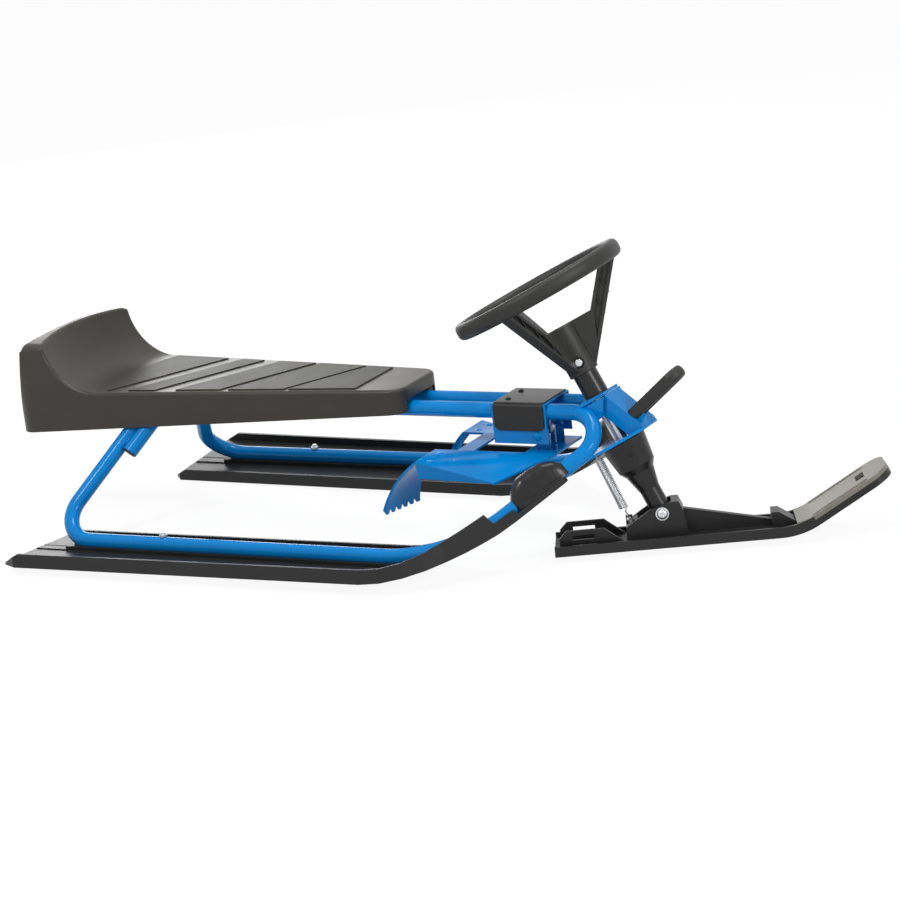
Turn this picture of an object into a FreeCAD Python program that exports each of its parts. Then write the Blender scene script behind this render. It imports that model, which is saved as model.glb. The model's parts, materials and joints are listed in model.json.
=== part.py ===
import FreeCAD, Part
import Sketcher
import math
import os
from FreeCAD import Placement, Rotation, Vector

# Steering sled: two rear runners on a welded tube frame, a moulded seat, a rocking foot brake,
# and a steering column with a wheel above and a turning front ski below.
# Millimetres. +X points forward, +Y to the rider's left, +Z up. The origin lies on the ground
# under the middle of the sled. The column rests turned to the left, as in the photograph.

doc = FreeCAD.newDocument("SteeringSled")
sheet = doc.addObject("Spreadsheet::Sheet", "Sizes")

SIZES = [
    # frame tubes
    ("tube_outer", 22), ("tube_wall", 1.5), ("frame_bend", 44), ("toe_bend", 215),
    ("ski_spacing", 428), ("upper_spacing", 50), ("upper_height", 181), ("run_height", 28),
    ("rear_corner_x", -541), ("toe_corner_x", 106), ("front_corner_x", 309),
    ("riser_run", 78), ("riser_inset", 124), ("riser_climb", 127), ("riser_overrise", 12),
    ("brace_gap", 0.4), ("brace_length", 78), ("brace_turn_x", -338),
    ("cross_outer", 18), ("cross_wall", 1.5), ("cross_drop", 9),
    # seat carriers
    ("carrier_thick", 3), ("front_carrier_x", -128), ("front_carrier_long", 48),
    ("front_carrier_wide", 76), ("rear_carrier_long", 46), ("rear_carrier_wide", 90),
    ("rear_carrier_lead", 9), ("seat_screw_pitch", 24), ("rear_screw_pitch", 50),
    ("rear_screw_back", 22), ("seat_screw_bore", 4.4), ("seat_screw_shank", 4),
    ("seat_screw_head", 9), ("seat_screw_head_tall", 3), ("boss_outer", 14), ("boss_grip", 10),
    # seat
    ("seat_rear_x", -642), ("seat_front_x", -28), ("seat_rise", 34), ("seat_rear_half", 122),
    ("seat_front_half", 58), ("back_rise", 110), ("back_lean", 25), ("back_ridge", 14),
    ("back_sweep_x", -523), ("seat_rear_hang", 26), ("seat_front_hang", 1),
    ("seat_wall", 3.5), ("seat_edge_round", 5), ("seat_corner_round", 26), ("bowl_radius", 340),
    ("seat_arch_half", 41), ("seat_arch_rise", 16), ("crown_drop", 6), ("crown_round", 20),
    ("band_rise", 1.6), ("band_slant_share", 0.5), ("band_margin", 10), ("band_rear_gap", 13),
    ("band_a_front", -440), ("band_b_rear", -411), ("band_b_front", -370), ("band_c_rear", -338),
    ("band_c_front", -272), ("band_d_rear", -259), ("band_d_front", -178), ("band_e_rear", -170),
    ("band_e_front", -101),
    # rear skis
    ("ski_tail_x", -568), ("ski_cant", 4.2), ("ski_depth", 20), ("sole_skim", 0.1), ("ski_floor", 8),
    ("ski_rim", 5),
    ("ski_lean_share", 0.15), ("ski_pad_half", 15), ("ski_pad_drop", 6), ("ski_cradle_gap", 0.1),
    ("pad_groove", 0.5), ("tail_out", 91), ("tail_in", 70), ("bend_out", 73), ("bend_in", 80),
    ("toe_out", 21), ("toe_in", 26), ("wall_out_drop", 0.8), ("wall_in_drop", 3.6),
    ("toe_out_rise", 19), ("toe_in_rise", 8), ("toe_depth", 13), ("toe_floor_drop", 7),
    ("ski_toe_length", 190), ("toe_nip", 6), ("wall_end_rise", 2), ("notch_start", 107), ("notch_run", 3),
    ("tail_ramp_long", 30), ("tail_ramp_low", 3), ("tail_clip", 14), ("tail_clip_long", 26),
    ("lip_end_lead", 35), ("lip_end_drop", 10.5),
    ("clip_half", 19.5), ("clip_back", 114), ("clip_length", 83), ("clip_rise", 31), ("clip_round", 7),
    ("ski_bolt_x", -347), ("ski_bolt_shank", 6), ("ski_bolt_gap", 0.2), ("ski_bolt_head", 14),
    ("ski_bolt_head_tall", 3.5), ("ski_bolt_sink", 1.5), ("ski_nut_across", 10),
    ("ski_nut_tall", 5), ("ski_bolt_tail", 2),
    # steering axis and head
    ("caster", 26.4), ("steer_rest", 28), ("hub_bolt_x", 221), ("hub_bolt_rise", 63),
    ("axle_height", 38), ("head_sheet", 3),
    ("plate_thick", 4), ("top_plate_level", 16), ("top_plate_back", 25), ("top_plate_front", 22.5),
    ("top_plate_half", 35), ("low_plate_level", -50), ("low_plate_back", 47.5),
    ("low_plate_front", 49.5), ("low_plate_tail_half", 15), ("low_plate_mid_half", 74),
    ("low_plate_mid_back", 22), ("low_plate_nose_half", 22.5), ("low_plate_mid_front", 24),
    ("hood_half", 22), ("hood_top_p", 22.4), ("hood_top_n", 15.8), ("hood_back_p", 6),
    ("hood_back_n", -8), ("hood_low_p", 24), ("hood_front_p", 49), ("hood_front_n", -42),
    ("shaft_outer", 20), ("shaft_wall", 2.5), ("bush_gap", 0.05), ("bush_wall", 3),
    ("bush_flange", 3.5), ("bush_flange_tall", 2),
    # tow loop
    ("loop_wide", 16), ("loop_thick", 6), ("loop_half", 20), ("loop_rise", 93), ("loop_tilt", 41),
    ("loop_base_p", 41.5), ("loop_root", 14),
    # column
    ("sleeve_outer", 34), ("sleeve_gap", 0.3), ("hub_low", 16), ("hub_tall", 70), ("hub_radius", 21),
    ("hub_bore_gap", 0.02), ("hub_cap", 6), ("hub_bolt_shank", 6), ("hub_bolt_head", 11),
    ("hub_bolt_head_tall", 4), ("hub_recess", 16), ("hub_recess_deep", 4.5), ("hub_nut_across", 10),
    ("hub_nut_tall", 5), ("bolt_gap", 0.1),
    ("rim_outer", 250), ("rim_wide", 18), ("rim_tall", 26), ("rim_level", 113), ("rim_round", 8.8),
    ("spoke_thick", 13), ("spoke_root_r", 18), ("spoke_foot_r", 48), ("spoke_out_inset", 7),
    ("spoke_in_inset", 33), ("spoke_rise", 106), ("spoke_pocket", 4), ("spoke_rib", 5),
    ("leg_top_gap", 0.3), ("leg_top_outer", 64), ("leg_mid_outer", 53), ("leg_mid_share", 0.646),
    ("leg_step_share", 0.563), ("leg_step_outer", 41), ("leg_low_outer", 28), ("leg_low_share", 0.313),
    ("leg_socket", 46), ("leg_pin_outer", 5), ("leg_pin_drop", 20),
    # front ski
    ("axle_over_sole", 42), ("ski_rock", 6.5), ("rock_play", 7), ("ski_pitch", 2.3), ("nose_arc", 110),
    ("nose_angle", 29.7), ("nose_run", 115), ("nose_start", 155), ("front_tail", 148),
    ("front_half", 50), ("board_thick", 9), ("lip_tall", 5), ("lip_wide", 6), ("nose_round", 30),
    ("tower_half", 23.5), ("tower_wall", 5.2), ("tower_back", 50),
    ("tower_back_z", 27), ("tower_mid_x", -15), ("tower_mid_z", 49), ("cap_back_x", 13),
    ("cap_front_x", 23), ("cap_z", 57), ("tower_front_x", 34), ("tower_front_z", 44),
    ("well_floor_z", 25), ("well_front_x", 16.5), ("well_front_z", 46), ("well_back_x", -19),
    ("well_back_top_x", -72), ("well_back_top_z", 66),
    ("spine_half", 6), ("spine_front_x", 148), ("spine_front_z", 18), ("stop_back_x", 146),
    ("stop_front_x", 180), ("stop_top_z", 30), ("stop_step", 10), ("stop_half", 20),
    ("fin_y", 30), ("fin_thick", 5), ("fin_back_x", -141), ("fin_front_x", -46), ("fin_top_z", 31),
    ("fin_flat_x", -80), ("fin_slot_long", 30), ("fin_slot_tall", 6), ("fin_slot_x", -108),
    ("fin_slot_z", 21), ("fin_round", 10), ("rope_slot_long", 13), ("rope_slot_wide", 32),
    ("rope_slot_back", 46),
    ("axle_shank", 8), ("axle_gap", 0.05), ("axle_head", 15), ("axle_head_tall", 5),
    ("washer_outer", 18), ("washer_thick", 1.6), ("axle_nut_across", 13), ("axle_nut_tall", 7),
    # centring spring
    ("spring_outer", 13), ("spring_wire", 1.6), ("spring_turn_gap", 0.6), ("spring_eye", 5),
    ("spring_neck", 6), ("spring_hole", 6.5), ("eye_lug_thick", 2.5), ("eye_lug_long", 9),
    ("eye_lug_tall", 20), ("eye_lug_over", 6), ("eye_lug_x", -45), ("eye_lug_z", 34),
    ("plate_hole_back", 41), ("plate_hole", 7), ("hook_fit", 1.4),
    # foot brake
    ("bracket_back_x", 100), ("bracket_front_x", 182), ("bracket_sheet", 2), ("bracket_drop", 43),
    ("bracket_gap", 0.3), ("cover_wall", 2), ("cover_back_x", 103), ("cover_front_x", 179),
    ("cover_drop", 24), ("cover_round_share", 0.9), ("cover_screw_x", 118), ("cover_screw_pitch", 40),
    ("cover_screw_head", 8), ("cover_screw_head_tall", 2.4), ("cover_screw_shank", 4),
    ("cover_screw_grip", 0.2), ("pivot_x", 166), ("pivot_drop", 32), ("pivot_shank", 8),
    ("pivot_gap", 0.05), ("pivot_head", 12), ("pivot_head_tall", 3), ("pivot_nut_tall", 3.2),
    ("lug_half", 20), ("lug_thick", 4), ("lug_radius", 10), ("brake_sheet", 3),
    ("brake_rear_x", 7), ("brake_inner", 41.5), ("brake_outer", 102), ("brake_drop", 54),
    ("brake_nose_x", 194), ("brake_toe_x", 126), ("brake_toe_drop", 80), ("skirt_drop", 24),
    ("bar_back_x", 42), ("bar_front_x", 68), ("claw_back", 62), ("claw_low_z", 48),
    ("claw_curve", 16), ("claw_inner_lead", 26), ("claw_inner_rise", 4), ("tooth_count", 6),
    ("tooth_deep", 7), ("bridge_back_x", 146),
    ("coil_fit", 0.3), ("coil_wire", 2), ("coil_turns", 4), ("coil_pitch", 3.2), ("coil_leg_fit", 0.2),
    # shared
    ("overrun", 20), ("seat_fit", 0.05), ("stand_pitch", 0.835),
]

for row, (alias, value) in enumerate(SIZES, start=1):
    sheet.set("A%d" % row, alias)
    sheet.set("B%d" % row, str(value))
    sheet.setAlias("B%d" % row, alias)
doc.recompute()
size = {alias: float(sheet.get(alias)) for alias, _ in SIZES}


def over_tubes(alias):
    """The height that lies so far over the axis of the upper tubes."""
    return size["upper_height"] + size[alias]


def under_tubes(alias):
    """The height that lies so far under the axis of the upper tubes."""
    return size["upper_height"] - size[alias]


RIGHT, LEFT = -1, 1
SIDE_NAMES = {RIGHT: "right", LEFT: "left"}
NEARLY_ALONG = 0.99
STRAIGHT_ON = 1 - 1e-12
EIGHTH_COS = math.cos(math.pi / 4)
nodes = []


def keep(item, label):
    """Names a finished sub-part and puts it on the list of those that are written."""
    item.Label = label
    nodes.append(item)
    return item


def feature(shape, label, place=None):
    """A sub-part whose shape is made directly."""
    item = doc.addObject("Part::Feature", label)
    item.Shape = shape
    if place is not None:
        item.Placement = place
    return keep(item, label)


def bound(kind, name, place=None, **formulas):
    """A Part primitive whose sizes follow the sheet."""
    item = doc.addObject(kind, name)
    for prop, formula in formulas.items():
        item.setExpression(prop, formula)
    if place is not None:
        item.Placement = place
    return item


def joined(kind, name, base, tool):
    """A boolean of two document objects."""
    item = doc.addObject("Part::" + kind, name)
    item.Base = base
    item.Tool = tool
    return item


def polygon(points):
    return Part.Face(Part.makePolygon(list(points) + [points[0]]))


def prism_y(outline, low, high):
    """Extrudes an outline of (x, z) points from y = low to y = high."""
    face = polygon([Vector(x, low, z) for x, z in outline])
    return face.extrude(Vector(0, high - low, 0))


def prism_z(outline, low, high):
    """Extrudes an outline of (x, y) points from z = low to z = high."""
    face = polygon([Vector(x, y, low) for x, y in outline])
    return face.extrude(Vector(0, 0, high - low))


def rod(start, end, radius):
    span = end - start
    return Part.makeCylinder(radius, span.Length, start, span)


def rounded_path(points, bends):
    """Straight runs joined by tangent arcs, one bend radius for each inner point."""
    edges = []
    start = points[0]
    for before, corner, after, bend in zip(points, points[1:], points[2:], bends):
        come = (corner - before).normalize()
        leave = (after - corner).normalize()
        turn = come.getAngle(leave)
        reach = bend * math.tan(turn / 2)
        entry = corner - come * reach
        exit_ = corner + leave * reach
        inward = (leave - come).normalize()
        middle = corner + inward * (bend / math.cos(turn / 2) - bend)
        edges.append(Part.LineSegment(start, entry).toShape())
        edges.append(Part.Arc(entry, middle, exit_).toShape())
        start = exit_
    edges.append(Part.LineSegment(start, points[-1]).toShape())
    return Part.Wire(edges)


def swept_round(path, radius):
    """A round bar along a path."""
    first = path.Edges[0]
    start = first.valueAt(first.FirstParameter)
    heading = first.tangentAt(first.FirstParameter)
    section = Part.Wire(Part.makeCircle(radius, start, heading))
    return path.makePipeShell([section], True, False)


def mirrored(shape):
    return shape.mirror(Vector(0, 0, 0), Vector(0, 1, 0))


def biarc(start, leave, end, arrive):
    """Two tangent arcs from a point and heading to the next."""
    chord = end - start
    if leave.dot(arrive) > STRAIGHT_ON:
        return [Part.LineSegment(start, end).toShape()]
    both = leave + arrive
    slack = 2 * (1 - leave.dot(arrive))
    along = chord.dot(both)
    reach = (-along + math.sqrt(along ** 2 + slack * chord.dot(chord))) / slack
    first_pole = start + leave * reach
    last_pole = end - arrive * reach
    joint = (first_pole + last_pole) / 2
    arcs = []
    for here, pole, there in ((start, first_pole, joint), (joint, last_pole, end)):
        middle = (here + there) / 2
        half_cos = (there - here).Length / 2 / reach
        crest = middle + (pole - middle) * (half_cos / (1 + half_cos))
        arcs.append(Part.Arc(here, crest, there).toShape())
    return arcs


def wire_form(stations, radius):
    """One unbroken round wire through stations of (point, heading)."""
    edges = []
    for (start, leave), (end, arrive) in zip(stations, stations[1:]):
        edges += biarc(start, leave.normalize(), end, arrive.normalize())
    path = Part.Wire(edges)
    point, heading = stations[0]
    section = Part.Wire(Part.makeCircle(radius, point, heading))
    return path, path.makePipeShell([section], True)


def least_self_gap(path, wire, apart):
    """Least clear distance between stretches of one wire that lie further apart along it."""
    points = path.discretize(Distance=wire)
    least = None
    for i, here in enumerate(points):
        for there in points[i + apart:]:
            gap = (here - there).Length - wire
            if least is None or gap < least:
                least = gap
    return least


# Frame: each side is one bent tube, from the weld at the riser, forward under the seat,
# round the head, down to the toe of the ski, back along the ski and up the riser.

tube_radius = size["tube_outer"] / 2
riser_way = Vector(size["riser_run"], size["riser_inset"], size["riser_climb"]).normalize()


def on_side(side, x, y, z):
    """A point with its distance y out from the middle plane, on one side of the sled."""
    return Vector(x, side * y, z)


def riser_point(side, z):
    rise = z - size["run_height"]
    out = size["ski_spacing"] / 2 - rise * riser_way.y / riser_way.z
    return on_side(side, size["rear_corner_x"] + rise * riser_way.x / riser_way.z, out, z)


def frame_points(side):
    upper_out = size["upper_spacing"] / 2
    way = Vector(riser_way.x, -side * riser_way.y, riser_way.z)
    forward = Vector(1, 0, 0)
    off = (forward - way * forward.dot(way)).normalize() * (size["tube_outer"] + size["brace_gap"])
    knee = riser_point(side, size["upper_height"]) + off
    knee = knee + way * ((size["upper_height"] - knee.z) / way.z)
    return [
        knee - way * size["brace_length"],
        knee,
        on_side(side, size["brace_turn_x"], upper_out, size["upper_height"]),
        on_side(side, size["front_corner_x"], upper_out, size["upper_height"]),
        on_side(side, size["toe_corner_x"], size["ski_spacing"] / 2, size["run_height"]),
        on_side(side, size["rear_corner_x"], size["ski_spacing"] / 2, size["run_height"]),
        riser_point(side, over_tubes("riser_overrise")),
    ]


FRAME_BENDS = [size["frame_bend"]] * 3 + [size["toe_bend"], size["frame_bend"]]


def ski_frame(side):
    """The frame of a rear ski: on the tube's axis, +X forward, tipped so that the outer edge is up."""
    return Placement(on_side(side, 0, size["ski_spacing"] / 2, size["run_height"]),
                     Rotation(Vector(1, 0, 0), side * size["ski_cant"]))


def placed(shape, place):
    """A copy of a shape carried from its own frame into the sled's."""
    moved = shape.copy()
    moved.Placement = place.multiply(moved.Placement)
    return moved


def ski_bolt_rod(side, radius, low, high):
    """A round bar along a ski bolt's axis, between two heights over the tube's axis."""
    bar = Part.makeCylinder(radius, high - low, Vector(size["ski_bolt_x"], 0, low))
    return placed(bar, ski_frame(side))


def ski_bolt_hole(side):
    reach = size["ski_depth"] + size["overrun"]
    return ski_bolt_rod(side, size["ski_bolt_shank"] / 2 + size["ski_bolt_gap"], -reach, reach)


tube_bars = {}
for side in (RIGHT, LEFT):
    path = rounded_path(frame_points(side), FRAME_BENDS)
    tube_bars[side] = swept_round(path, tube_radius)
    hollow = swept_round(path, tube_radius - size["tube_wall"])
    tube = tube_bars[side].cut(hollow).cut(ski_bolt_hole(side))
    feature(tube, "frame_tube_" + SIDE_NAMES[side])
both_tubes = tube_bars[RIGHT].fuse(tube_bars[LEFT])

# Rear cross tube, saddle cut to the two risers, under the back of the seat.
cross_z = under_tubes("cross_drop")
cross_end = riser_point(RIGHT, cross_z)
cross_start = Vector(cross_end.x, -abs(cross_end.y), cross_z)
cross_far = Vector(cross_end.x, abs(cross_end.y), cross_z)
cross_bar = rod(cross_start, cross_far, size["cross_outer"] / 2)
cross_bore = rod(cross_start, cross_far, size["cross_outer"] / 2 - size["cross_wall"])
cross_tube = cross_bar.cut(both_tubes).cut(cross_bore)
feature(max(cross_tube.Solids, key=lambda solid: solid.Volume), "rear_cross_tube")


# Seat carriers: two flat strips welded on the tubes, with holes for the seat screws.

def carrier(label, low_corner, screw_places):
    long, wide, low = low_corner[3], low_corner[4], low_corner[2]
    plate = Part.makeBox(long, wide, size["carrier_thick"], Vector(*low_corner[:3]))
    for x, y in screw_places:
        bore = Part.makeCylinder(size["seat_screw_bore"] / 2, size["carrier_thick"], Vector(x, y, low))
        plate = plate.cut(bore)
    return feature(plate, label)


front_carrier_z = size["upper_height"] + tube_radius
front_screws = [(size["front_carrier_x"] + way * size["seat_screw_pitch"] / 2, 0) for way in (-1, 1)]
carrier("front_seat_carrier",
        (size["front_carrier_x"] - size["front_carrier_long"] / 2, -size["front_carrier_wide"] / 2,
         front_carrier_z, size["front_carrier_long"], size["front_carrier_wide"]), front_screws)

rear_carrier_z = cross_z + size["cross_outer"] / 2
rear_carrier_front = cross_end.x + size["rear_carrier_lead"]
rear_screws = [(cross_end.x - size["rear_screw_back"], way * size["rear_screw_pitch"] / 2) for way in (-1, 1)]
carrier("rear_seat_carrier",
        (rear_carrier_front - size["rear_carrier_long"], -size["rear_carrier_wide"] / 2,
         rear_carrier_z, size["rear_carrier_long"], size["rear_carrier_wide"]), rear_screws)
seat_bosses = ([(x, y, front_carrier_z + size["carrier_thick"]) for x, y in front_screws]
               + [(x, y, rear_carrier_z + size["carrier_thick"]) for x, y in rear_screws])


# Seat: a moulded shell, open below, tapering forward, with a swept-up back and raised grip bands.

seat_top = over_tubes("seat_rise")
back_top = over_tubes("back_rise")
seat_rear_low = under_tubes("seat_rear_hang")
seat_front_low = under_tubes("seat_front_hang")


def seat_half(x, inset):
    share = (x - size["seat_rear_x"]) / (size["seat_front_x"] - size["seat_rear_x"])
    return size["seat_rear_half"] + share * (size["seat_front_half"] - size["seat_rear_half"]) - inset


def seat_low_z(x):
    share = (x - size["seat_rear_x"]) / (size["seat_front_x"] - size["seat_rear_x"])
    return seat_rear_low + share * (seat_front_low - seat_rear_low)


def back_sweep(inset):
    """What is cut away over the seat: a bowl about an upright axis that leaves the swept-up back."""
    axis = size["seat_rear_x"] + size["back_lean"] + size["back_ridge"] + size["bowl_radius"]
    reach = size["bowl_radius"] + inset
    floor = seat_top - inset
    brow = back_top
    foot = axis - size["back_sweep_x"]
    bend = reach - foot
    lift = bend * (1 - EIGHTH_COS)
    high = brow + size["overrun"]
    edges = [
        Part.Arc(Vector(-foot, 0, floor), Vector(-foot - bend * EIGHTH_COS, 0, floor + lift),
                 Vector(-reach, 0, floor + bend)).toShape(),
        Part.LineSegment(Vector(-reach, 0, floor + bend), Vector(-reach, 0, high)).toShape(),
        Part.LineSegment(Vector(-reach, 0, high), Vector(0, 0, high)).toShape(),
        Part.LineSegment(Vector(0, 0, high), Vector(0, 0, floor)).toShape(),
        Part.LineSegment(Vector(0, 0, floor), Vector(-foot, 0, floor)).toShape(),
    ]
    bowl = Part.Face(Part.Wire(edges)).revolve(Vector(0, 0, 0), Vector(0, 0, 1), 360)
    bowl.translate(Vector(axis, 0, 0))
    return bowl


def back_crown(inset):
    """The back seen from behind: a slightly arched top edge with rounded corners."""
    half = size["seat_rear_half"] - inset
    high = back_top - inset
    shoulder = high - size["crown_drop"]
    foot = seat_rear_low - 2 * size["overrun"]
    start = size["seat_rear_x"] - size["overrun"]
    edges = [
        Part.LineSegment(Vector(start, half, foot), Vector(start, half, shoulder)).toShape(),
        Part.Arc(Vector(start, half, shoulder), Vector(start, 0, high),
                 Vector(start, -half, shoulder)).toShape(),
        Part.LineSegment(Vector(start, -half, shoulder), Vector(start, -half, foot)).toShape(),
        Part.LineSegment(Vector(start, -half, foot), Vector(start, half, foot)).toShape(),
    ]
    crown = Part.Face(Part.Wire(edges)).extrude(Vector(size["seat_front_x"] - start + size["overrun"], 0, 0))
    corners = [edge for edge in crown.Edges if abs(edge.BoundBox.ZMax - shoulder) < size["seat_fit"]
               and abs(edge.tangentAt(edge.FirstParameter).x) > NEARLY_ALONG]
    return crown.makeFillet(size["crown_round"] - inset, corners)


def seat_block(inset, below):
    """The outer form, or with an inset its hollow, which runs out below the bottom edge."""
    rear = size["seat_rear_x"] + inset
    front = size["seat_front_x"] - inset
    crest = size["seat_rear_x"] + size["back_lean"] + inset
    high = back_top - inset
    side_view = [(rear, seat_low_z(size["seat_rear_x"]) - below), (crest, high), (front, high),
                 (front, seat_low_z(size["seat_front_x"]) - below)]
    wide = size["seat_rear_half"] + size["overrun"]
    slab = prism_y(side_view, -wide, wide)
    plan = [(rear, -seat_half(rear, inset)), (front, -seat_half(front, inset)),
            (front, seat_half(front, inset)), (rear, seat_half(rear, inset))]
    low = seat_rear_low - below - size["overrun"]
    column = prism_z(plan, low, back_top + size["overrun"])
    upright = [edge for edge in column.Edges if abs(edge.tangentAt(edge.FirstParameter).z) > NEARLY_ALONG]
    column = column.makeFillet(size["seat_corner_round"] - inset, upright)
    return slab.common(column).common(back_crown(inset)).cut(back_sweep(inset))


def soften_top(block, low):
    """Rounds the upper edges of the seat."""
    picked = [edge for edge in block.Edges if edge.BoundBox.ZMin > low]
    return block.makeFillet(size["seat_edge_round"], picked)


def seat_bands(low):
    """Raised grip bands, cut apart by slanting grooves, square in front and rounded to the bowl behind."""
    high = seat_top + size["band_rise"]
    rear, front, margin = size["seat_rear_x"], size["band_e_front"], size["band_margin"]
    plan = prism_z([(rear, -seat_half(rear, margin)), (front, -seat_half(front, margin)),
                    (front, seat_half(front, margin)), (rear, seat_half(rear, margin))], low, high)
    bowl_x = rear + size["back_lean"] + size["back_ridge"] + size["bowl_radius"]
    reach = bowl_x - size["back_sweep_x"] - size["band_rear_gap"]
    plan = plan.common(Part.makeCylinder(reach, high - low, Vector(bowl_x, 0, low)))
    half = size["seat_rear_half"]
    slant = half * size["band_slant_share"]
    grooves = [("band_a_front", "band_b_rear"), ("band_b_front", "band_c_rear"),
               ("band_c_front", "band_d_rear"), ("band_d_front", "band_e_rear")]
    for back, ahead in grooves:
        groove = [(size[back] - slant, -half), (size[ahead] - slant, -half),
                  (size[ahead] + slant, half), (size[back] + slant, half)]
        plan = plan.cut(prism_z(groove, low, high))
    return plan.Solids


def seat_shell():
    outer = seat_block(0, 0)
    outer = soften_top(outer, seat_top - size["seat_wall"])
    inner = seat_block(size["seat_wall"], size["overrun"])
    shell = outer.cut(inner)
    arch_x = size["seat_front_x"] - size["overrun"]
    arch = Part.makeBox(2 * size["overrun"], 2 * size["seat_arch_half"], over_tubes("seat_arch_rise"),
                        Vector(arch_x, -size["seat_arch_half"], 0))
    shell = shell.cut(arch)
    ceiling = seat_top - size["seat_wall"] / 2
    for x, y, z in seat_bosses:
        boss = Part.makeCylinder(size["boss_outer"] / 2, ceiling - z, Vector(x, y, z))
        hole = Part.makeCylinder(size["seat_screw_shank"] / 2, size["boss_grip"], Vector(x, y, z))
        shell = shell.fuse(boss).cut(hole)
    shell = shell.fuse(seat_bands(ceiling))
    return shell.removeSplitter()


feature(seat_shell(), "seat_shell")


def seat_screw(x, y, z):
    """A pan head screw from below: head under the carrier, shank up into the boss."""
    under = z - size["carrier_thick"]
    head = Part.makeCylinder(size["seat_screw_head"] / 2, size["seat_screw_head_tall"],
                             Vector(x, y, under - size["seat_screw_head_tall"]))
    long = size["carrier_thick"] + size["boss_grip"]
    shank = Part.makeCylinder(size["seat_screw_shank"] / 2, long, Vector(x, y, under))
    return head.fuse(shank)


feature(Part.makeCompound([seat_screw(*place) for place in seat_bosses]), "seat_screws")

# Rear skis: a trough that follows the tube, wide behind, drawn in round the toe bend, with walls that
# rise beside the tube up to a notch, and a flat foot under the clip beyond it.

# Shares along the toe bend: of its turn, then of the way from toe to bend in width out and in, in depth
# and in wall.
BEND_SHARES = (
    (0, 1, 1, 1, 1), (0.125, 0.93, 0.98, 0.86, 0.95), (0.25, 0.74, 0.94, 0.64, 0.82),
    (0.375, 0.47, 0.85, 0.43, 0.63), (0.5, 0.22, 0.72, 0.21, 0.38), (0.625, 0.08, 0.57, 0.07, 0.19),
    (0.75, 0, 0.41, 0, 0.06), (0.85, 0, 0.29, 0, 0),
)
BEND_END_SHARES = ((0.875, 0, 0.26, 0), (1, 0, 0.15, 0))
CLIP_SHARES = ((0, 0.42), (0.12, 0.82), (0.265, 1), (0.445, 1), (0.723, 0.9), (0.94, 0.64), (1, 0.27))


def between(share, first, last):
    """The value that lies so far from last back towards first."""
    return last + share * (first - last)


def toe_frame(side):
    """Toe corner, heading up to the head, the half turn's reach, and the turn itself."""
    points = frame_points(side)
    corner = points[4]
    heading = (points[3] - corner).normalize()
    turn = Vector(1, 0, 0).getAngle(heading)
    return corner, heading, size["toe_bend"] * math.tan(turn / 2), turn


def ski_ways(side, heading):
    """The outward and upward ways of the ski where its tube runs along a heading."""
    turn = Rotation(Vector(1, 0, 0), heading).multiply(ski_frame(side).Rotation)
    return turn.multVec(Vector(0, side, 0)), turn.multVec(Vector(0, 0, 1))


def ski_ring(side, point, heading, out, inn, depth, rise_out, rise_in, floor):
    """One section across a rear ski: sole, two walls, floor and the pad under the tube."""
    outward, up = ski_ways(side, heading)
    pad_top = -size["ski_pad_drop"]
    rows = []
    for reach, rise in ((out, rise_out), (inn, rise_in)):
        top = reach - size["ski_lean_share"] * (rise + depth)
        foot = top - size["ski_rim"]
        pad = min(size["ski_pad_half"], foot - size["pad_groove"])
        rows.append([(reach, -depth), (top, rise), (foot, rise), (foot, floor), (pad, floor), (pad, pad_top)])
    ring = rows[0] + [(-v, w) for v, w in reversed(rows[1])]
    points = [point + outward * v + up * w for v, w in ring]
    return Part.makePolygon(points + [points[0]])


def ski_sections(side):
    """The sections along a rear ski, from the tail to the toe."""
    corner, heading, reach, turn = toe_frame(side)
    forward = Vector(1, 0, 0)
    entry = corner - forward * reach
    inward = (heading - forward * heading.dot(forward)).normalize()
    depth, floor = size["ski_depth"], size["ski_floor"] - size["ski_depth"]
    walls = -size["wall_out_drop"], -size["wall_in_drop"]
    tail = Vector(size["ski_tail_x"], corner.y, corner.z)
    rings = [ski_ring(side, tail, forward, size["tail_out"], size["tail_in"], depth, *walls, floor)]
    rises = size["toe_out_rise"], size["toe_in_rise"]
    rows = [row[:4] + tuple(between(row[4], wall, rise) for wall, rise in zip(walls, rises))
            for row in BEND_SHARES]
    rows += [row + (size["wall_end_rise"],) * 2 for row in BEND_END_SHARES]
    for share, out_share, in_share, deep_share, rise_out, rise_in in rows:
        angle = turn * share
        point = entry + (forward * math.sin(angle) + inward * (1 - math.cos(angle))) * size["toe_bend"]
        way = forward * math.cos(angle) + inward * math.sin(angle)
        rings.append(ski_ring(
            side, point, way, between(out_share, size["bend_out"], size["toe_out"]),
            between(in_share, size["bend_in"], size["toe_in"]), between(deep_share, depth, size["toe_depth"]),
            rise_out, rise_in, between(deep_share, floor, -size["toe_floor_drop"])))
    toe_in = between(BEND_END_SHARES[-1][2], size["bend_in"], size["toe_in"])
    low = -size["ski_pad_drop"]
    toe = [(size["notch_start"], 0, toe_in, size["wall_end_rise"], size["wall_end_rise"]),
           (size["notch_start"] + size["notch_run"], 0, toe_in, low, low),
           (size["ski_toe_length"] - size["toe_nip"], 0, size["toe_in"], low, low),
           (size["ski_toe_length"], size["toe_nip"], size["toe_in"] - size["toe_nip"], low, low)]
    for along, nip, inn, rise_out, rise_in in toe:
        rings.append(ski_ring(side, corner + heading * along, heading, size["toe_out"] - nip, inn,
                              size["toe_depth"], rise_out, rise_in, -size["toe_floor_drop"]))
    return rings


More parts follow.
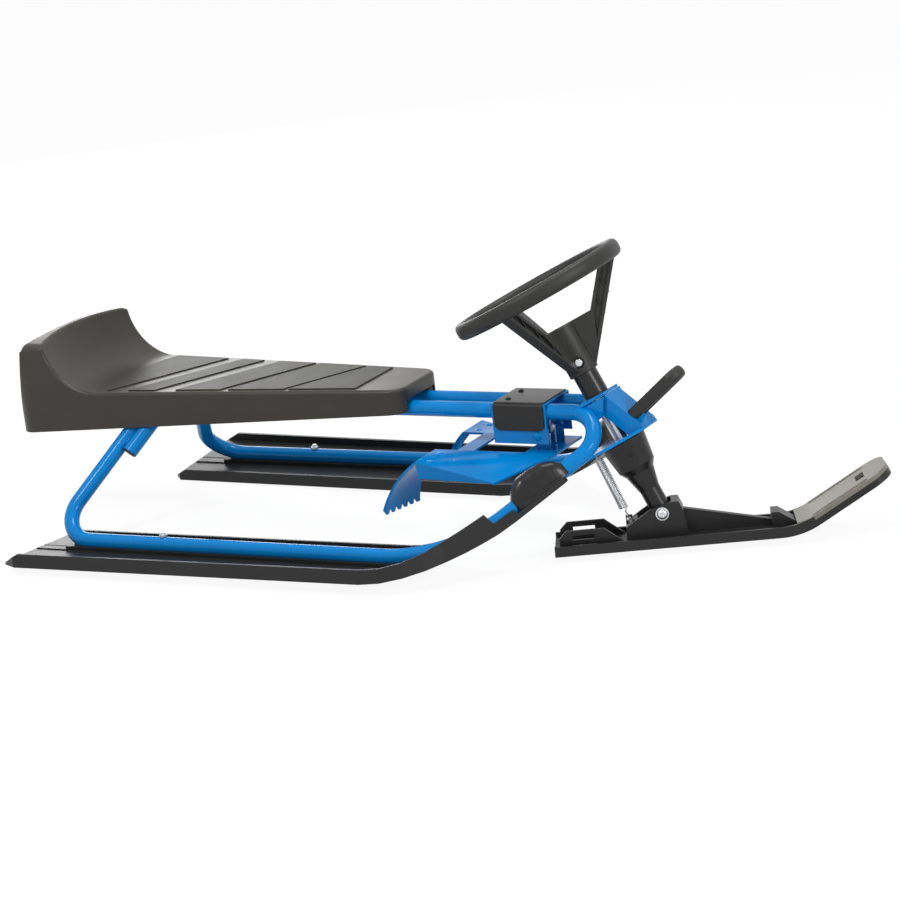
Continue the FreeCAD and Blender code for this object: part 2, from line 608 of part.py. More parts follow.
def rear_ski(side):
    corner, heading, reach, turn = toe_frame(side)
    ski = Part.makeLoft(ski_sections(side), True, True)
    run_out = Vector(size["overrun"], 0, 0)
    tail = Vector(size["ski_tail_x"], corner.y, corner.z)
    toe = corner + heading * (size["ski_toe_length"] + size["overrun"])
    bed = rounded_path([tail - run_out, corner, toe], [size["toe_bend"]])
    ski = ski.cut(swept_round(bed, tube_radius + size["ski_cradle_gap"]))
    frame = ski_frame(side)
    wide = size["tail_out"] + size["overrun"]
    high = size["overrun"]
    back, sole = size["ski_tail_x"], -size["ski_depth"]
    top = -size["wall_out_drop"]
    ramp = [(back, sole + size["tail_ramp_low"]), (back + size["tail_ramp_long"], top),
            (back + size["tail_ramp_long"], high), (back, high)]
    ski = ski.cut(placed(prism_y(ramp, -wide, wide), frame))
    for way, edge, long in ((side, size["tail_out"], size["tail_clip_long"]),
                            (-side, size["tail_in"], size["tail_clip"])):
        nip = [(back, way * (edge - size["tail_clip"])), (back + long, way * edge), (back + long, way * wide),
               (back, way * wide)]
        ski = ski.cut(placed(prism_z(nip, sole - high, high), frame))
    lips = Part.makeBox(size["rear_corner_x"] + size["lip_end_lead"] - back, 2 * size["ski_pad_half"], high,
                        Vector(back, -size["ski_pad_half"], -size["lip_end_drop"]))
    ski = ski.cut(placed(lips, frame))
    flat = Part.makeBox(corner.x - reach - back, 2 * wide, high,
                        Vector(back, -wide, sole + size["sole_skim"] - high))
    ski = ski.cut(placed(flat, frame))
    gap = size["ski_bolt_gap"]
    head = Part.makeCone(size["ski_bolt_head"] / 2 + gap, size["ski_bolt_shank"] / 2 + gap,
                         size["ski_bolt_head_tall"],
                         Vector(size["ski_bolt_x"], 0, sole + size["ski_bolt_sink"]))
    sink = ski_bolt_rod(side, size["ski_bolt_head"] / 2 + gap, sole, sole + size["ski_bolt_sink"])
    return ski.cut(ski_bolt_hole(side)).cut(placed(head, frame)).cut(sink)


def ski_clip(side):
    """The glossy rounded hood that holds the tube down at the toe of the ski."""
    corner, heading, reach, turn = toe_frame(side)
    outward, up = ski_ways(side, heading)
    base = size["seat_fit"] - size["ski_pad_drop"]
    rows = [(share, rise * size["clip_rise"]) for share, rise in CLIP_SHARES]
    rows = [(rows[0][0], base)] + rows + [(rows[-1][0], base)]
    points = [corner + heading * (size["clip_back"] + share * size["clip_length"]) + up * w
              - outward * size["clip_half"] for share, w in rows]
    hood = polygon(points).extrude(outward * 2 * size["clip_half"])
    rims = []
    for edge in hood.Edges:
        ends = [(vertex.Point - corner).dot(up) for vertex in edge.Vertexes]
        along = abs(edge.tangentAt(edge.FirstParameter).dot(outward))
        if along < 1 - NEARLY_ALONG and max(ends) > base + size["seat_fit"]:
            rims.append(edge)
    hood = hood.makeFillet(size["clip_round"], rims)
    tube = rod(corner + heading * reach, corner + heading * (reach + size["ski_toe_length"]),
               tube_radius + size["seat_fit"])
    return hood.cut(tube)


def ski_bolt(side):
    """A countersunk bolt from the sole, up through the ski and the tube."""
    foot = size["ski_bolt_sink"] - size["ski_depth"]
    head = Part.makeCone(size["ski_bolt_head"] / 2, size["ski_bolt_shank"] / 2,
                         size["ski_bolt_head_tall"], Vector(size["ski_bolt_x"], 0, foot))
    high = tube_radius + size["ski_nut_tall"] + size["ski_bolt_tail"]
    return placed(head, ski_frame(side)).fuse(ski_bolt_rod(side, size["ski_bolt_shank"] / 2, foot, high))


def hexagon_nut(across, tall, bore, base, way):
    """A plain hexagon nut standing on base, along way."""
    turn = Rotation(Vector(0, 0, 1), way)
    corners = [base + turn.multVec(Vector(math.cos(angle), math.sin(angle), 0)) * (across / math.sqrt(3))
               for angle in [math.radians(60 * step) for step in range(6)]]
    blank = polygon(corners).extrude(way * tall)
    return blank.cut(Part.makeCylinder(bore, tall, base, way))


for side in (RIGHT, LEFT):
    feature(rear_ski(side), "rear_ski_" + SIDE_NAMES[side])
    feature(ski_clip(side), "ski_clip_" + SIDE_NAMES[side])
feature(Part.makeCompound([ski_bolt(side) for side in (RIGHT, LEFT)]), "ski_bolts")
ski_nut = hexagon_nut(size["ski_nut_across"], size["ski_nut_tall"], size["ski_bolt_shank"] / 2,
                      Vector(size["ski_bolt_x"], 0, tube_radius), Vector(0, 0, 1))
feature(Part.makeCompound([placed(ski_nut, ski_frame(side)) for side in (RIGHT, LEFT)]), "ski_nuts")

# Steering axis. Heights along the column are measured up from the axle of the front ski.

lean = math.radians(size["caster"])
column_up = Vector(-math.sin(lean), 0, math.cos(lean))
hub_point = Vector(size["hub_bolt_x"], 0, over_tubes("hub_bolt_rise"))


def on_axis(z):
    return hub_point + column_up * ((z - hub_point.z) / column_up.z)


axle_point = on_axis(size["axle_height"])
head_point = on_axis(size["upper_height"])
hub_level = (hub_point - axle_point).Length
head_level = (head_point - axle_point).Length
fixed_turn = Rotation(Vector(0, 1, 0), -size["caster"])
steer_turn = Rotation(column_up, size["steer_rest"]).multiply(fixed_turn)
head_place = Placement(head_point, fixed_turn)
column_place = Placement(axle_point, steer_turn)
top_plate_top = head_level + size["top_plate_level"] + size["plate_thick"]
low_plate_low = head_level + size["low_plate_level"]


# Head: two plates square to the column, cut to fit the tubes, with a folded hood in front.

bush_seat = size["shaft_outer"] / 2 + size["bush_gap"] + size["bush_wall"]


def head_plate(outline, level, holes=()):
    plate = prism_z(outline, level, level + size["plate_thick"])
    bores = [(0, 0, bush_seat)] + list(holes)
    for p, y, radius in bores:
        plate = plate.cut(Part.makeCylinder(radius, size["plate_thick"], Vector(p, y, level)))
    return placed(plate, head_place).cut(both_tubes)


top_outline = [(-size["top_plate_back"], -size["top_plate_half"]),
               (size["top_plate_front"], -size["hood_half"]),
               (size["top_plate_front"], size["hood_half"]),
               (-size["top_plate_back"], size["top_plate_half"])]
feature(head_plate(top_outline, size["top_plate_level"]), "head_top_plate")

low_right = [(-size["low_plate_back"], -size["low_plate_tail_half"]),
             (-size["low_plate_mid_back"], -size["low_plate_mid_half"]),
             (size["low_plate_mid_front"], -size["low_plate_nose_half"] * 2),
             (size["low_plate_front"], -size["low_plate_nose_half"])]
low_outline = low_right + [(p, -y) for p, y in reversed(low_right)]
spring_hole = (-size["plate_hole_back"], 0, size["plate_hole"] / 2)
feature(head_plate(low_outline, size["low_plate_level"], [spring_hole]), "head_low_plate")

hood_floor = size["low_plate_level"] + size["plate_thick"]
hood_outline = [(size["hood_top_p"], size["hood_top_n"]), (size["hood_back_p"], size["hood_back_n"]),
                (size["hood_low_p"], hood_floor), (size["hood_front_p"], hood_floor),
                (size["hood_front_p"], size["hood_front_n"])]
hood_block = prism_y(hood_outline, -size["hood_half"], size["hood_half"])


def hood_hollow():
    """What the sheet leaves open: all but the two cheeks and the sloping front."""
    sheet_thick = size["head_sheet"]
    reach = size["overrun"]
    slope = Vector(size["hood_front_p"] - size["hood_top_p"], 0, size["hood_front_n"] - size["hood_top_n"])
    inward = Vector(slope.z, 0, -slope.x).normalize() * sheet_thick
    outline = [(size["hood_top_p"] + inward.x - slope.x, size["hood_top_n"] + inward.z - slope.z),
               (size["hood_front_p"] - sheet_thick, size["hood_front_n"] + inward.z),
               (size["hood_front_p"] - sheet_thick, hood_floor - reach),
               (size["hood_back_p"] - size["top_plate_back"], hood_floor - reach)]
    half = size["hood_half"] - sheet_thick
    return prism_y(outline, -half, half)


feature(placed(hood_block.cut(hood_hollow()), head_place), "head_hood")


def head_bush(level, way):
    """A flanged plastic bush in a head plate, running on the shaft."""
    bore = size["shaft_outer"] / 2 + size["bush_gap"]
    barrel = Part.makeCylinder(bush_seat - size["seat_fit"], size["plate_thick"], Vector(0, 0, level))
    rest = level + size["plate_thick"] if way > 0 else level - size["bush_flange_tall"]
    flange = Part.makeCylinder(bush_seat + size["bush_flange"], size["bush_flange_tall"], Vector(0, 0, rest))
    hole = Part.makeCylinder(bore, size["plate_thick"] + 2 * size["overrun"],
                             Vector(0, 0, level - size["overrun"]))
    return barrel.fuse(flange).cut(hole)


feature(head_bush(size["top_plate_level"], 1), "upper_bush", head_place)
feature(head_bush(size["low_plate_level"], -1), "lower_bush", head_place)

# Tow loop: a stirrup of flat strap whose root stands on the sloping front of the hood.

loop_slope = ((size["hood_front_n"] - size["hood_top_n"]) / (size["hood_front_p"] - size["hood_top_p"]))
loop_base = head_place.multVec(Vector(
    size["loop_base_p"], 0, size["hood_top_n"] + (size["loop_base_p"] - size["hood_top_p"]) * loop_slope))
loop_place = Placement(loop_base, Rotation(Vector(0, 1, 0), 90 - size["loop_tilt"]))


def tow_loop():
    body = doc.addObject("PartDesign::Body", "TowLoopBody")
    plane = next(item for item in body.Origin.OriginFeatures if item.Role == "YZ_Plane")
    sketch = body.newObject("Sketcher::SketchObject", "TowLoopOutline")
    sketch.AttachmentSupport = [(plane, "")]
    sketch.MapMode = "FlatFace"
    half, thick = size["loop_half"], size["loop_thick"]
    rise, root = size["loop_rise"] - size["loop_half"], size["loop_root"]
    centre = Vector(0, rise, 0)
    up = Vector(0, 0, 1)
    outer_arc = sketch.addGeometry(Part.ArcOfCircle(Part.Circle(centre, up, half), 0, math.pi))
    inner_arc = sketch.addGeometry(Part.ArcOfCircle(Part.Circle(centre, up, half - thick), 0, math.pi))
    rows = [(half, rise), (half, -root), (half - thick, -root), (half - thick, rise)]
    legs = []
    for way in (1, -1):
        for (y0, z0), (y1, z1) in zip(rows, rows[1:]):
            line = Part.LineSegment(Vector(way * y0, z0, 0), Vector(way * y1, z1, 0))
            legs.append(sketch.addGeometry(line))
    for chain, outer_end, inner_end in ((legs[:3], 1, 1), (legs[3:], 2, 2)):
        sketch.addConstraint(Sketcher.Constraint("Tangent", outer_arc, outer_end, chain[0], 1))
        sketch.addConstraint(Sketcher.Constraint("Coincident", chain[0], 2, chain[1], 1))
        sketch.addConstraint(Sketcher.Constraint("Coincident", chain[1], 2, chain[2], 1))
        sketch.addConstraint(Sketcher.Constraint("Coincident", chain[2], 2, inner_arc, inner_end))
        sketch.addConstraint(Sketcher.Constraint("Horizontal", chain[1]))
        sketch.addConstraint(Sketcher.Constraint("Vertical", chain[2]))
    sketch.addConstraint(Sketcher.Constraint("Coincident", outer_arc, 3, inner_arc, 3))
    sketch.addConstraint(Sketcher.Constraint("PointOnObject", outer_arc, 3, -2))
    wide = sketch.addConstraint(Sketcher.Constraint("Radius", outer_arc, half))
    narrow = sketch.addConstraint(Sketcher.Constraint("Radius", inner_arc, half - thick))
    high = sketch.addConstraint(Sketcher.Constraint("DistanceY", -1, 1, outer_arc, 3, rise))
    deep = sketch.addConstraint(Sketcher.Constraint("DistanceY", legs[0], 2, -1, 1, root))
    level = sketch.addConstraint(Sketcher.Constraint("DistanceY", legs[3], 2, -1, 1, root))
    sketch.setExpression("Constraints[%d]" % wide, "Sizes.loop_half")
    sketch.setExpression("Constraints[%d]" % narrow, "Sizes.loop_half - Sizes.loop_thick")
    sketch.setExpression("Constraints[%d]" % high, "Sizes.loop_rise - Sizes.loop_half")
    sketch.setExpression("Constraints[%d]" % deep, "Sizes.loop_root")
    sketch.setExpression("Constraints[%d]" % level, "Sizes.loop_root")
    pad = body.newObject("PartDesign::Pad", "TowLoopStrap")
    pad.Profile = sketch
    pad.Midplane = True
    pad.setExpression("Length", "Sizes.loop_wide")
    body.Placement = loop_place
    seat = doc.addObject("Part::Feature", "TowLoopSeat")
    seat.Shape = placed(hood_block, head_place)
    return joined("Cut", "tow_loop", body, seat)


keep(tow_loop(), "tow_loop")

# Column: a hollow shaft in the two bushes, with the wheel and sleeve above and the leg below.

hub_floor = hub_level - size["hub_low"]
sleeve_floor = top_plate_top + size["bush_flange_tall"] + size["sleeve_gap"]
leg_roof = low_plate_low - size["bush_flange_tall"] - size["leg_top_gap"]
shaft_foot = leg_roof - size["leg_socket"]
pin_level = leg_roof - size["leg_pin_drop"]
shaft_head = hub_level - size["hub_low"] + size["hub_tall"] - size["hub_cap"]


def cross_hole(radius, level, half):
    """A bore right across the column, along its crosswise axis."""
    return Part.makeCylinder(radius, 2 * half, Vector(0, -half, level), Vector(0, 1, 0))


def steering_shaft():
    outer = size["shaft_outer"] / 2
    bar = Part.makeCylinder(outer, shaft_head - shaft_foot, Vector(0, 0, shaft_foot))
    bore = Part.makeCylinder(outer - size["shaft_wall"], shaft_head - shaft_foot, Vector(0, 0, shaft_foot))
    bolt = cross_hole(size["hub_bolt_shank"] / 2 + size["bolt_gap"], hub_level, size["hub_radius"])
    pin = cross_hole(size["leg_pin_outer"] / 2, pin_level, size["leg_top_outer"])
    return bar.cut(bore).cut(bolt).cut(pin)


feature(steering_shaft(), "steering_shaft", column_place)


def column_sleeve():
    tall = hub_floor - sleeve_floor
    body = Part.makeCylinder(size["sleeve_outer"] / 2, tall, Vector(0, 0, sleeve_floor))
    bore = Part.makeCylinder(size["shaft_outer"] / 2 + size["seat_fit"], tall, Vector(0, 0, sleeve_floor))
    return body.cut(bore)


feature(column_sleeve(), "column_sleeve", column_place)


def rounded_ring():
    """The rim: a rounded oblong section revolved about the column."""
    outer, wide = size["rim_outer"] / 2, size["rim_wide"]
    low = hub_level + size["rim_level"] - size["rim_tall"] / 2
    high = low + size["rim_tall"]
    section = polygon([Vector(outer - wide, 0, low), Vector(outer, 0, low), Vector(outer, 0, high),
                       Vector(outer - wide, 0, high)])
    rim = section.revolve(Vector(0, 0, 0), Vector(0, 0, 1), 360)
    corners = [edge for edge in rim.Edges if edge.Curve.TypeId == "Part::GeomCircle"]
    return rim.makeFillet(size["rim_round"], corners)


def wheel_spoke():
    """One deep web from the foot of the hub to the underside of the rim, with a pocket in each face."""
    foot = hub_level - size["hub_low"]
    crown = hub_level - size["hub_low"] + size["hub_tall"]
    top = hub_level + size["spoke_rise"]
    rim = size["rim_outer"] / 2
    outline = [(0, foot), (size["spoke_root_r"], foot), (rim - size["spoke_out_inset"], top),
               (rim - size["spoke_in_inset"], top), (size["spoke_foot_r"], crown), (0, crown)]
    half = size["spoke_thick"] / 2
    web = prism_y(outline, -half, half)
    rib = size["spoke_rib"]
    face = polygon([Vector(r, 0, z) for r, z in outline[1:5]])
    inner = face.makeOffset2D(-rib, 2)
    for way in (-1, 1):
        pocket = inner.copy()
        pocket.translate(Vector(0, way * half, 0))
        web = web.cut(pocket.extrude(Vector(0, -way * size["spoke_pocket"], 0)))
    return web


def steering_wheel():
    hub = Part.makeCylinder(size["hub_radius"], size["hub_tall"], Vector(0, 0, hub_floor))
    wheel = rounded_ring().fuse(hub)
    spoke = wheel_spoke()
    for step in range(3):
        arm = spoke.copy()
        arm.rotate(Vector(0, 0, 0), Vector(0, 0, 1), 120 * step)
        wheel = wheel.fuse(arm)
    bore = Part.makeCylinder(size["shaft_outer"] / 2 + size["hub_bore_gap"],
                             size["hub_tall"] - size["hub_cap"], Vector(0, 0, hub_floor))
    wheel = wheel.cut(bore)
    wheel = wheel.cut(cross_hole(size["hub_bolt_shank"] / 2 + size["bolt_gap"], hub_level, size["rim_outer"]))
    for way in (-1, 1):
        floor = way * (size["hub_radius"] - size["hub_recess_deep"])
        recess = Part.makeCylinder(size["hub_recess"] / 2, size["rim_outer"] / 2,
                                   Vector(0, floor, hub_level), Vector(0, way, 0))
        reach = size["hub_radius"] + size["hub_recess_deep"]
        keep_box = Part.makeBox(2 * reach, 2 * reach, 2 * reach, Vector(-reach, -reach, hub_level - reach))
        wheel = wheel.cut(recess.common(keep_box))
    return wheel.removeSplitter()


feature(steering_wheel(), "steering_wheel", column_place)

hub_face = size["hub_radius"] - size["hub_recess_deep"]


def hub_bolt():
    """A round head bolt across the hub, its head in the recess on the right."""
    head = Part.makeCylinder(size["hub_bolt_head"] / 2, size["hub_bolt_head_tall"],
                             Vector(0, -hub_face, hub_level), Vector(0, -1, 0))
    shank = Part.makeCylinder(size["hub_bolt_shank"] / 2, 2 * hub_face + size["hub_nut_tall"],
                              Vector(0, -hub_face, hub_level), Vector(0, 1, 0))
    crown = [edge for edge in head.Edges if abs(edge.BoundBox.YMin + hub_face + size["hub_bolt_head_tall"])
             < size["bolt_gap"] and edge.Closed]
    return head.makeFillet(size["hub_bolt_head_tall"] / 2, crown[:1]).fuse(shank)


feature(hub_bolt(), "hub_bolt", column_place)
feature(hexagon_nut(size["hub_nut_across"], size["hub_nut_tall"], size["hub_bolt_shank"] / 2,
                    Vector(0, hub_face, hub_level), Vector(0, 1, 0)), "hub_nut", column_place)


def column_leg():
    """The stepped, tapering leg under the head, turned about the column, with a ball foot."""
    top, mid, step, low = [size[name] / 2 for name in
                           ("leg_top_outer", "leg_mid_outer", "leg_step_outer", "leg_low_outer")]
    outline = [Vector(0, 0, 0), Vector(low, 0, 0), Vector(low, 0, leg_roof * size["leg_low_share"]),
               Vector(step, 0, leg_roof * size["leg_step_share"]),
               Vector(mid, 0, leg_roof * size["leg_mid_share"]),
               Vector(top, 0, leg_roof), Vector(0, 0, leg_roof)]
    leg = polygon(outline).revolve(Vector(0, 0, 0), Vector(0, 0, 1), 360)
    leg = leg.fuse(Part.makeSphere(low))
    socket = Part.makeCylinder(size["shaft_outer"] / 2 + size["hub_bore_gap"], size["leg_socket"],
                               Vector(0, 0, shaft_foot))
    leg = leg.cut(socket)
    return leg.cut(cross_hole(size["leg_pin_outer"] / 2, pin_level, size["leg_top_outer"]))


# Front ski. Its own frame has the origin at the axle, +X to the nose and +Z square to the sole.

ski_turn = (Rotation(column_up, size["steer_rest"])
            .multiply(Rotation(Vector(1, 0, 0), size["ski_rock"]))
            .multiply(Rotation(Vector(0, 1, 0), -size["ski_pitch"])))
ski_place = Placement(axle_point, ski_turn)
axle_way = ski_turn.multVec(Vector(0, 1, 0))
axle_bore_radius = size["axle_shank"] / 2 + size["axle_gap"]
leg_shape = placed(column_leg(), column_place)
flare_long = size["leg_low_outer"] / 2 + size["overrun"]
flare_mouth = axle_bore_radius + flare_long * math.tan(math.radians(size["rock_play"]))
leg_way = column_place.Rotation.multVec(Vector(0, 1, 0))
for way in (leg_way, leg_way * -1):
    leg_shape = leg_shape.cut(Part.makeCone(axle_bore_radius, flare_mouth, flare_long, axle_point, way))
feature(leg_shape, "column_leg")

leg_pin = bound("Part::Cylinder", "leg_pin", Radius="Sizes.leg_pin_outer / 2", Height="Sizes.leg_mid_outer")
pin_start = Vector(0, -size["leg_mid_outer"] / 2, pin_level)
leg_pin.Placement = column_place.multiply(Placement(pin_start, Rotation(Vector(1, 0, 0), -90)))
keep(leg_pin, "leg_pin")

sole_z = -size["axle_over_sole"]


def nose_line(offset):
    """Points of the board's side view at a height over the sole: tail, start, arc and nose tip."""
    centre_z = sole_z + size["nose_arc"]
    radius = size["nose_arc"] - offset
    angle = math.radians(size["nose_angle"])
    start = Vector(size["nose_start"], 0, sole_z + offset)
    mid = Vector(size["nose_start"] + radius * math.sin(angle / 2), 0,
                 centre_z - radius * math.cos(angle / 2))
    end = Vector(size["nose_start"] + radius * math.sin(angle), 0, centre_z - radius * math.cos(angle))
    tip = end + Vector(math.cos(angle), 0, math.sin(angle)) * size["nose_run"]
    return Vector(-size["front_tail"], 0, sole_z + offset), start, mid, end, tip


def board_slab(low, high, half):
    """A layer of the board between two heights over the sole."""
    a_tail, a_start, a_mid, a_end, a_tip = nose_line(low)
    b_tail, b_start, b_mid, b_end, b_tip = nose_line(high)
    edges = [
        Part.LineSegment(a_tail, a_start).toShape(), Part.Arc(a_start, a_mid, a_end).toShape(),
        Part.LineSegment(a_end, a_tip).toShape(), Part.LineSegment(a_tip, b_tip).toShape(),
        Part.LineSegment(b_tip, b_end).toShape(), Part.Arc(b_end, b_mid, b_start).toShape(),
        Part.LineSegment(b_start, b_tail).toShape(), Part.LineSegment(b_tail, a_tail).toShape(),
    ]
    face = Part.Face(Part.Wire(edges))
    face.translate(Vector(0, -half, 0))
    return face.extrude(Vector(0, 2 * half, 0))


def nose_frame():
    """The tip's middle on the sole side, and the way that the nose runs."""
    tip = nose_line(0)[4]
    angle = math.radians(size["nose_angle"])
    return tip, Vector(math.cos(angle), 0, math.sin(angle)), Vector(-math.sin(angle), 0, math.cos(angle))


def ski_board():
    half = size["front_half"]
    rim_top = size["board_thick"] + size["lip_tall"]
    board = board_slab(0, rim_top, half)
    board = board.cut(board_slab(size["board_thick"], rim_top + size["overrun"], half - size["lip_wide"]))
    tip, way, up = nose_frame()
    radius = size["nose_round"]
    for side in (-1, 1):
        corner = tip + Vector(0, side * half, 0)
        centre = corner - way * radius - Vector(0, side * radius, 0)
        low = up * -size["overrun"]
        ahead = way * 2 * radius
        beside = Vector(0, side * 2 * radius, 0)
        block_points = [centre, centre + ahead, centre + ahead + beside, centre + beside]
        tall = rim_top + 2 * size["overrun"]
        block = polygon([point + low for point in block_points]).extrude(up * tall)
        drum = Part.makeCylinder(radius, tall, centre + low, up)
        board = board.cut(block.cut(drum))
    corner = tip - way * size["rope_slot_back"] - Vector(0, size["rope_slot_wide"] / 2, 0)
    base = corner - up * size["overrun"]
    along = way * size["rope_slot_long"]
    wide = Vector(0, size["rope_slot_wide"], 0)
    slot = polygon([base, base + along, base + along + wide, base + wide])
    board = board.cut(slot.extrude(up * (2 * size["overrun"] + size["board_thick"])))
    return board


def ski_tower():
    """The upright that takes the leg, its well open above and behind."""
    floor = sole_z + size["board_thick"] / 2
    outline = [(-size["tower_back"], floor), (-size["tower_back"], sole_z + size["tower_back_z"]),
               (size["tower_mid_x"], sole_z + size["tower_mid_z"]),
               (size["cap_back_x"], sole_z + size["cap_z"]),
               (size["cap_front_x"], sole_z + size["cap_z"]), (size["tower_front_x"] - size["tower_wall"],
                                                              sole_z + size["tower_front_z"]),
               (size["tower_front_x"], floor)]
    return prism_y(outline, -size["tower_half"], size["tower_half"])


def leg_well():
    """The room for the leg at every pitch of the ski."""
    high = sole_z + size["cap_z"] + size["overrun"]
    outline = [(size["well_back_x"], sole_z + size["well_floor_z"]),
               (size["well_front_x"], sole_z + size["well_floor_z"]),
               (size["well_front_x"], sole_z + size["well_front_z"]),
               (size["cap_back_x"], sole_z + size["cap_z"]),
               (size["cap_back_x"], high), (size["well_back_top_x"], high),
               (size["well_back_top_x"], sole_z + size["well_back_top_z"])]
    half = size["tower_half"] - size["tower_wall"]
    return prism_y(outline, -half, half)


def ski_fin(side):
    """A lengthwise fin at the tail, with a hand slot."""
    floor = sole_z + size["board_thick"] / 2
    top = sole_z + size["fin_top_z"]
    outline = [(size["fin_back_x"], floor), (size["fin_back_x"], top - size["fin_round"]),
               (size["fin_back_x"] + size["fin_round"], top), (size["fin_flat_x"], top),
               (size["fin_front_x"], floor)]
    low = side * size["fin_y"] - size["fin_thick"] / 2
    fin = prism_y(outline, low, low + size["fin_thick"])
    slot = Part.makeBox(size["fin_slot_long"], 2 * size["fin_thick"], size["fin_slot_tall"],
                        Vector(size["fin_slot_x"] - size["fin_slot_long"] / 2, low - size["fin_thick"] / 2,
                               sole_z + size["fin_slot_z"] - size["fin_slot_tall"] / 2))
    return fin.cut(slot)


def front_ski():
    floor = sole_z + size["board_thick"] / 2
    spine = prism_y([(0, floor), (size["tower_front_x"] - size["tower_wall"], sole_z + size["tower_front_z"]),
                     (size["spine_front_x"], sole_z + size["spine_front_z"]), (size["stop_front_x"], floor)],
                    -size["spine_half"], size["spine_half"])
    stop = prism_y([(size["stop_back_x"], floor), (size["stop_back_x"], sole_z + size["stop_top_z"]),
                    (size["stop_back_x"] + size["stop_step"], sole_z + size["stop_top_z"]),
                    (size["stop_front_x"], sole_z + size["board_thick"] + size["lip_tall"]),
                    (size["stop_front_x"], floor)], -size["stop_half"], size["stop_half"])
    ski = ski_board().fuse([ski_tower(), spine, stop, ski_fin(RIGHT), ski_fin(LEFT), eye_lug()])
    ski = ski.cut(leg_well())
    half = size["front_half"]
    bore = Part.makeCylinder(size["axle_shank"] / 2 + size["seat_fit"], 2 * half, Vector(0, -half, 0),
                             Vector(0, 1, 0))
    return ski.cut(bore).removeSplitter()


def eye_lug():
    """The lug on the back of the tower that the centring spring hooks into."""
    thick, long, tall = size["eye_lug_thick"], size["eye_lug_long"], size["eye_lug_tall"]
    top = lower_eye.z + size["eye_lug_over"]
    lug = Part.makeBox(long, thick, tall, Vector(lower_eye.x - long / 2, -thick / 2, top - tall))
    hole = Part.makeCylinder(size["spring_hole"] / 2, thick, lower_eye - Vector(0, thick / 2, 0),
                             Vector(0, 1, 0))
    return lug.cut(hole)


lower_eye = Vector(size["eye_lug_x"], 0, sole_z + size["eye_lug_z"])
feature(front_ski(), "front_ski", ski_place)

# Axle bolt through the tower and the leg's foot, with a washer each side and a nut on the left.

tower_face = size["tower_half"]
washer_face = tower_face + size["washer_thick"]
to_left = Rotation(Vector(1, 0, 0), -90)


def along_axle(y, turn=None):
    return ski_place.multiply(Placement(Vector(0, y, 0), turn or to_left))


axle_shank = bound("Part::Cylinder", "axle_shank_rod", Radius="Sizes.axle_shank / 2",
                   Height="2 * (Sizes.tower_half + Sizes.washer_thick)"
                          " + Sizes.axle_nut_tall + Sizes.ski_bolt_tail")
axle_head = bound("Part::Cylinder", "axle_head_disc",
                  Radius="Sizes.axle_head / 2", Height="Sizes.axle_head_tall",
                  place=Placement(Vector(0, 0, -size["axle_head_tall"]), Rotation()))
axle_bolt = joined("Fuse", "axle_bolt", axle_shank, axle_head)
axle_bolt.Placement = along_axle(-washer_face)
keep(axle_bolt, "axle_bolt")
washers = [Part.makeCylinder(size["washer_outer"] / 2, size["washer_thick"], Vector(0, y, 0), Vector(0, 1, 0))
           .cut(Part.makeCylinder(size["axle_shank"] / 2, size["washer_thick"], Vector(0, y, 0),
                                  Vector(0, 1, 0)))
           for y in (-washer_face, tower_face)]
feature(Part.makeCompound(washers), "axle_washers", ski_place)
feature(hexagon_nut(size["axle_nut_across"], size["axle_nut_tall"], size["axle_shank"] / 2,
                    Vector(0, washer_face, 0), Vector(0, 1, 0)), "axle_nut", ski_place)

# Centring spring: a close coil from the back of the low plate to the lug on the front ski.

upper_hole = head_place.multVec(Vector(-size["plate_hole_back"], 0,
                                       size["low_plate_level"] + size["plate_thick"] / 2))
lower_hole = ski_place.multVec(lower_eye)
hole_way = (upper_hole - lower_hole).normalize()
hook_forward = axle_way.cross(hole_way).normalize()
hook_inside = size["spring_eye"] - size["spring_wire"] / 2
low_rise = size["spring_eye"] + size["spring_hole"] / 2 - size["spring_wire"] / 2 - size["hook_fit"]
high_drop = hook_inside - size["plate_thick"] / 2 - size["hook_fit"]
low_hook = lower_hole + hole_way * low_rise
high_hook = upper_hole - hook_forward * size["spring_eye"] - column_up * high_drop


def centring_spring(whole):
    """One wire between two hook centres: hook, neck, coil, neck, and a hook a quarter turn on."""
    wire = size["spring_wire"]
    coil = (size["spring_outer"] - wire) / 2
    eye = size["spring_eye"]
    neck = size["spring_neck"]
    tall = whole - 2 * (neck + eye)
    turns = int(tall / (wire + size["spring_turn_gap"]))
    quarters = turns * 4 + 1
    rise = tall / quarters
    climb = rise / (coil * math.pi / 2)
    lift = neck / (coil / 2 * math.pi)
    low_eye = Vector(0, 0, -neck - eye)
    stations = [(low_eye + Vector(0, -eye, 0), Vector(0, 0, -1)),
                (low_eye + Vector(0, 0, -eye), Vector(0, 1, 0)),
                (low_eye + Vector(0, eye, 0), Vector(0, 0, 1)),
                (low_eye + Vector(0, 0, eye), Vector(0, -1, lift))]
    for step in range(quarters + 1):
        angle = step * math.pi / 2
        stations.append((Vector(coil * math.cos(angle), coil * math.sin(angle), step * rise),
                         Vector(-math.sin(angle), math.cos(angle), climb)))
    top_eye = Vector(0, 0, tall + neck + eye)
    spin = Rotation(Vector(0, 0, 1), 90 * quarters)
    side = spin.multVec(Vector(0, 1, 0))
    up = Vector(0, 0, 1)
    stations += [(top_eye - up * eye, up * lift - side), (top_eye - side * eye, up),
                 (top_eye + up * eye, side), (top_eye + side * eye, up * -1)]
    path, solid = wire_form(stations, wire / 2)
    turn_points = int(math.pi * size["spring_outer"] / wire / 2)
    print("centring spring least gap to itself: %.2f mm" % least_self_gap(path, wire, turn_points))
    return solid, neck + eye


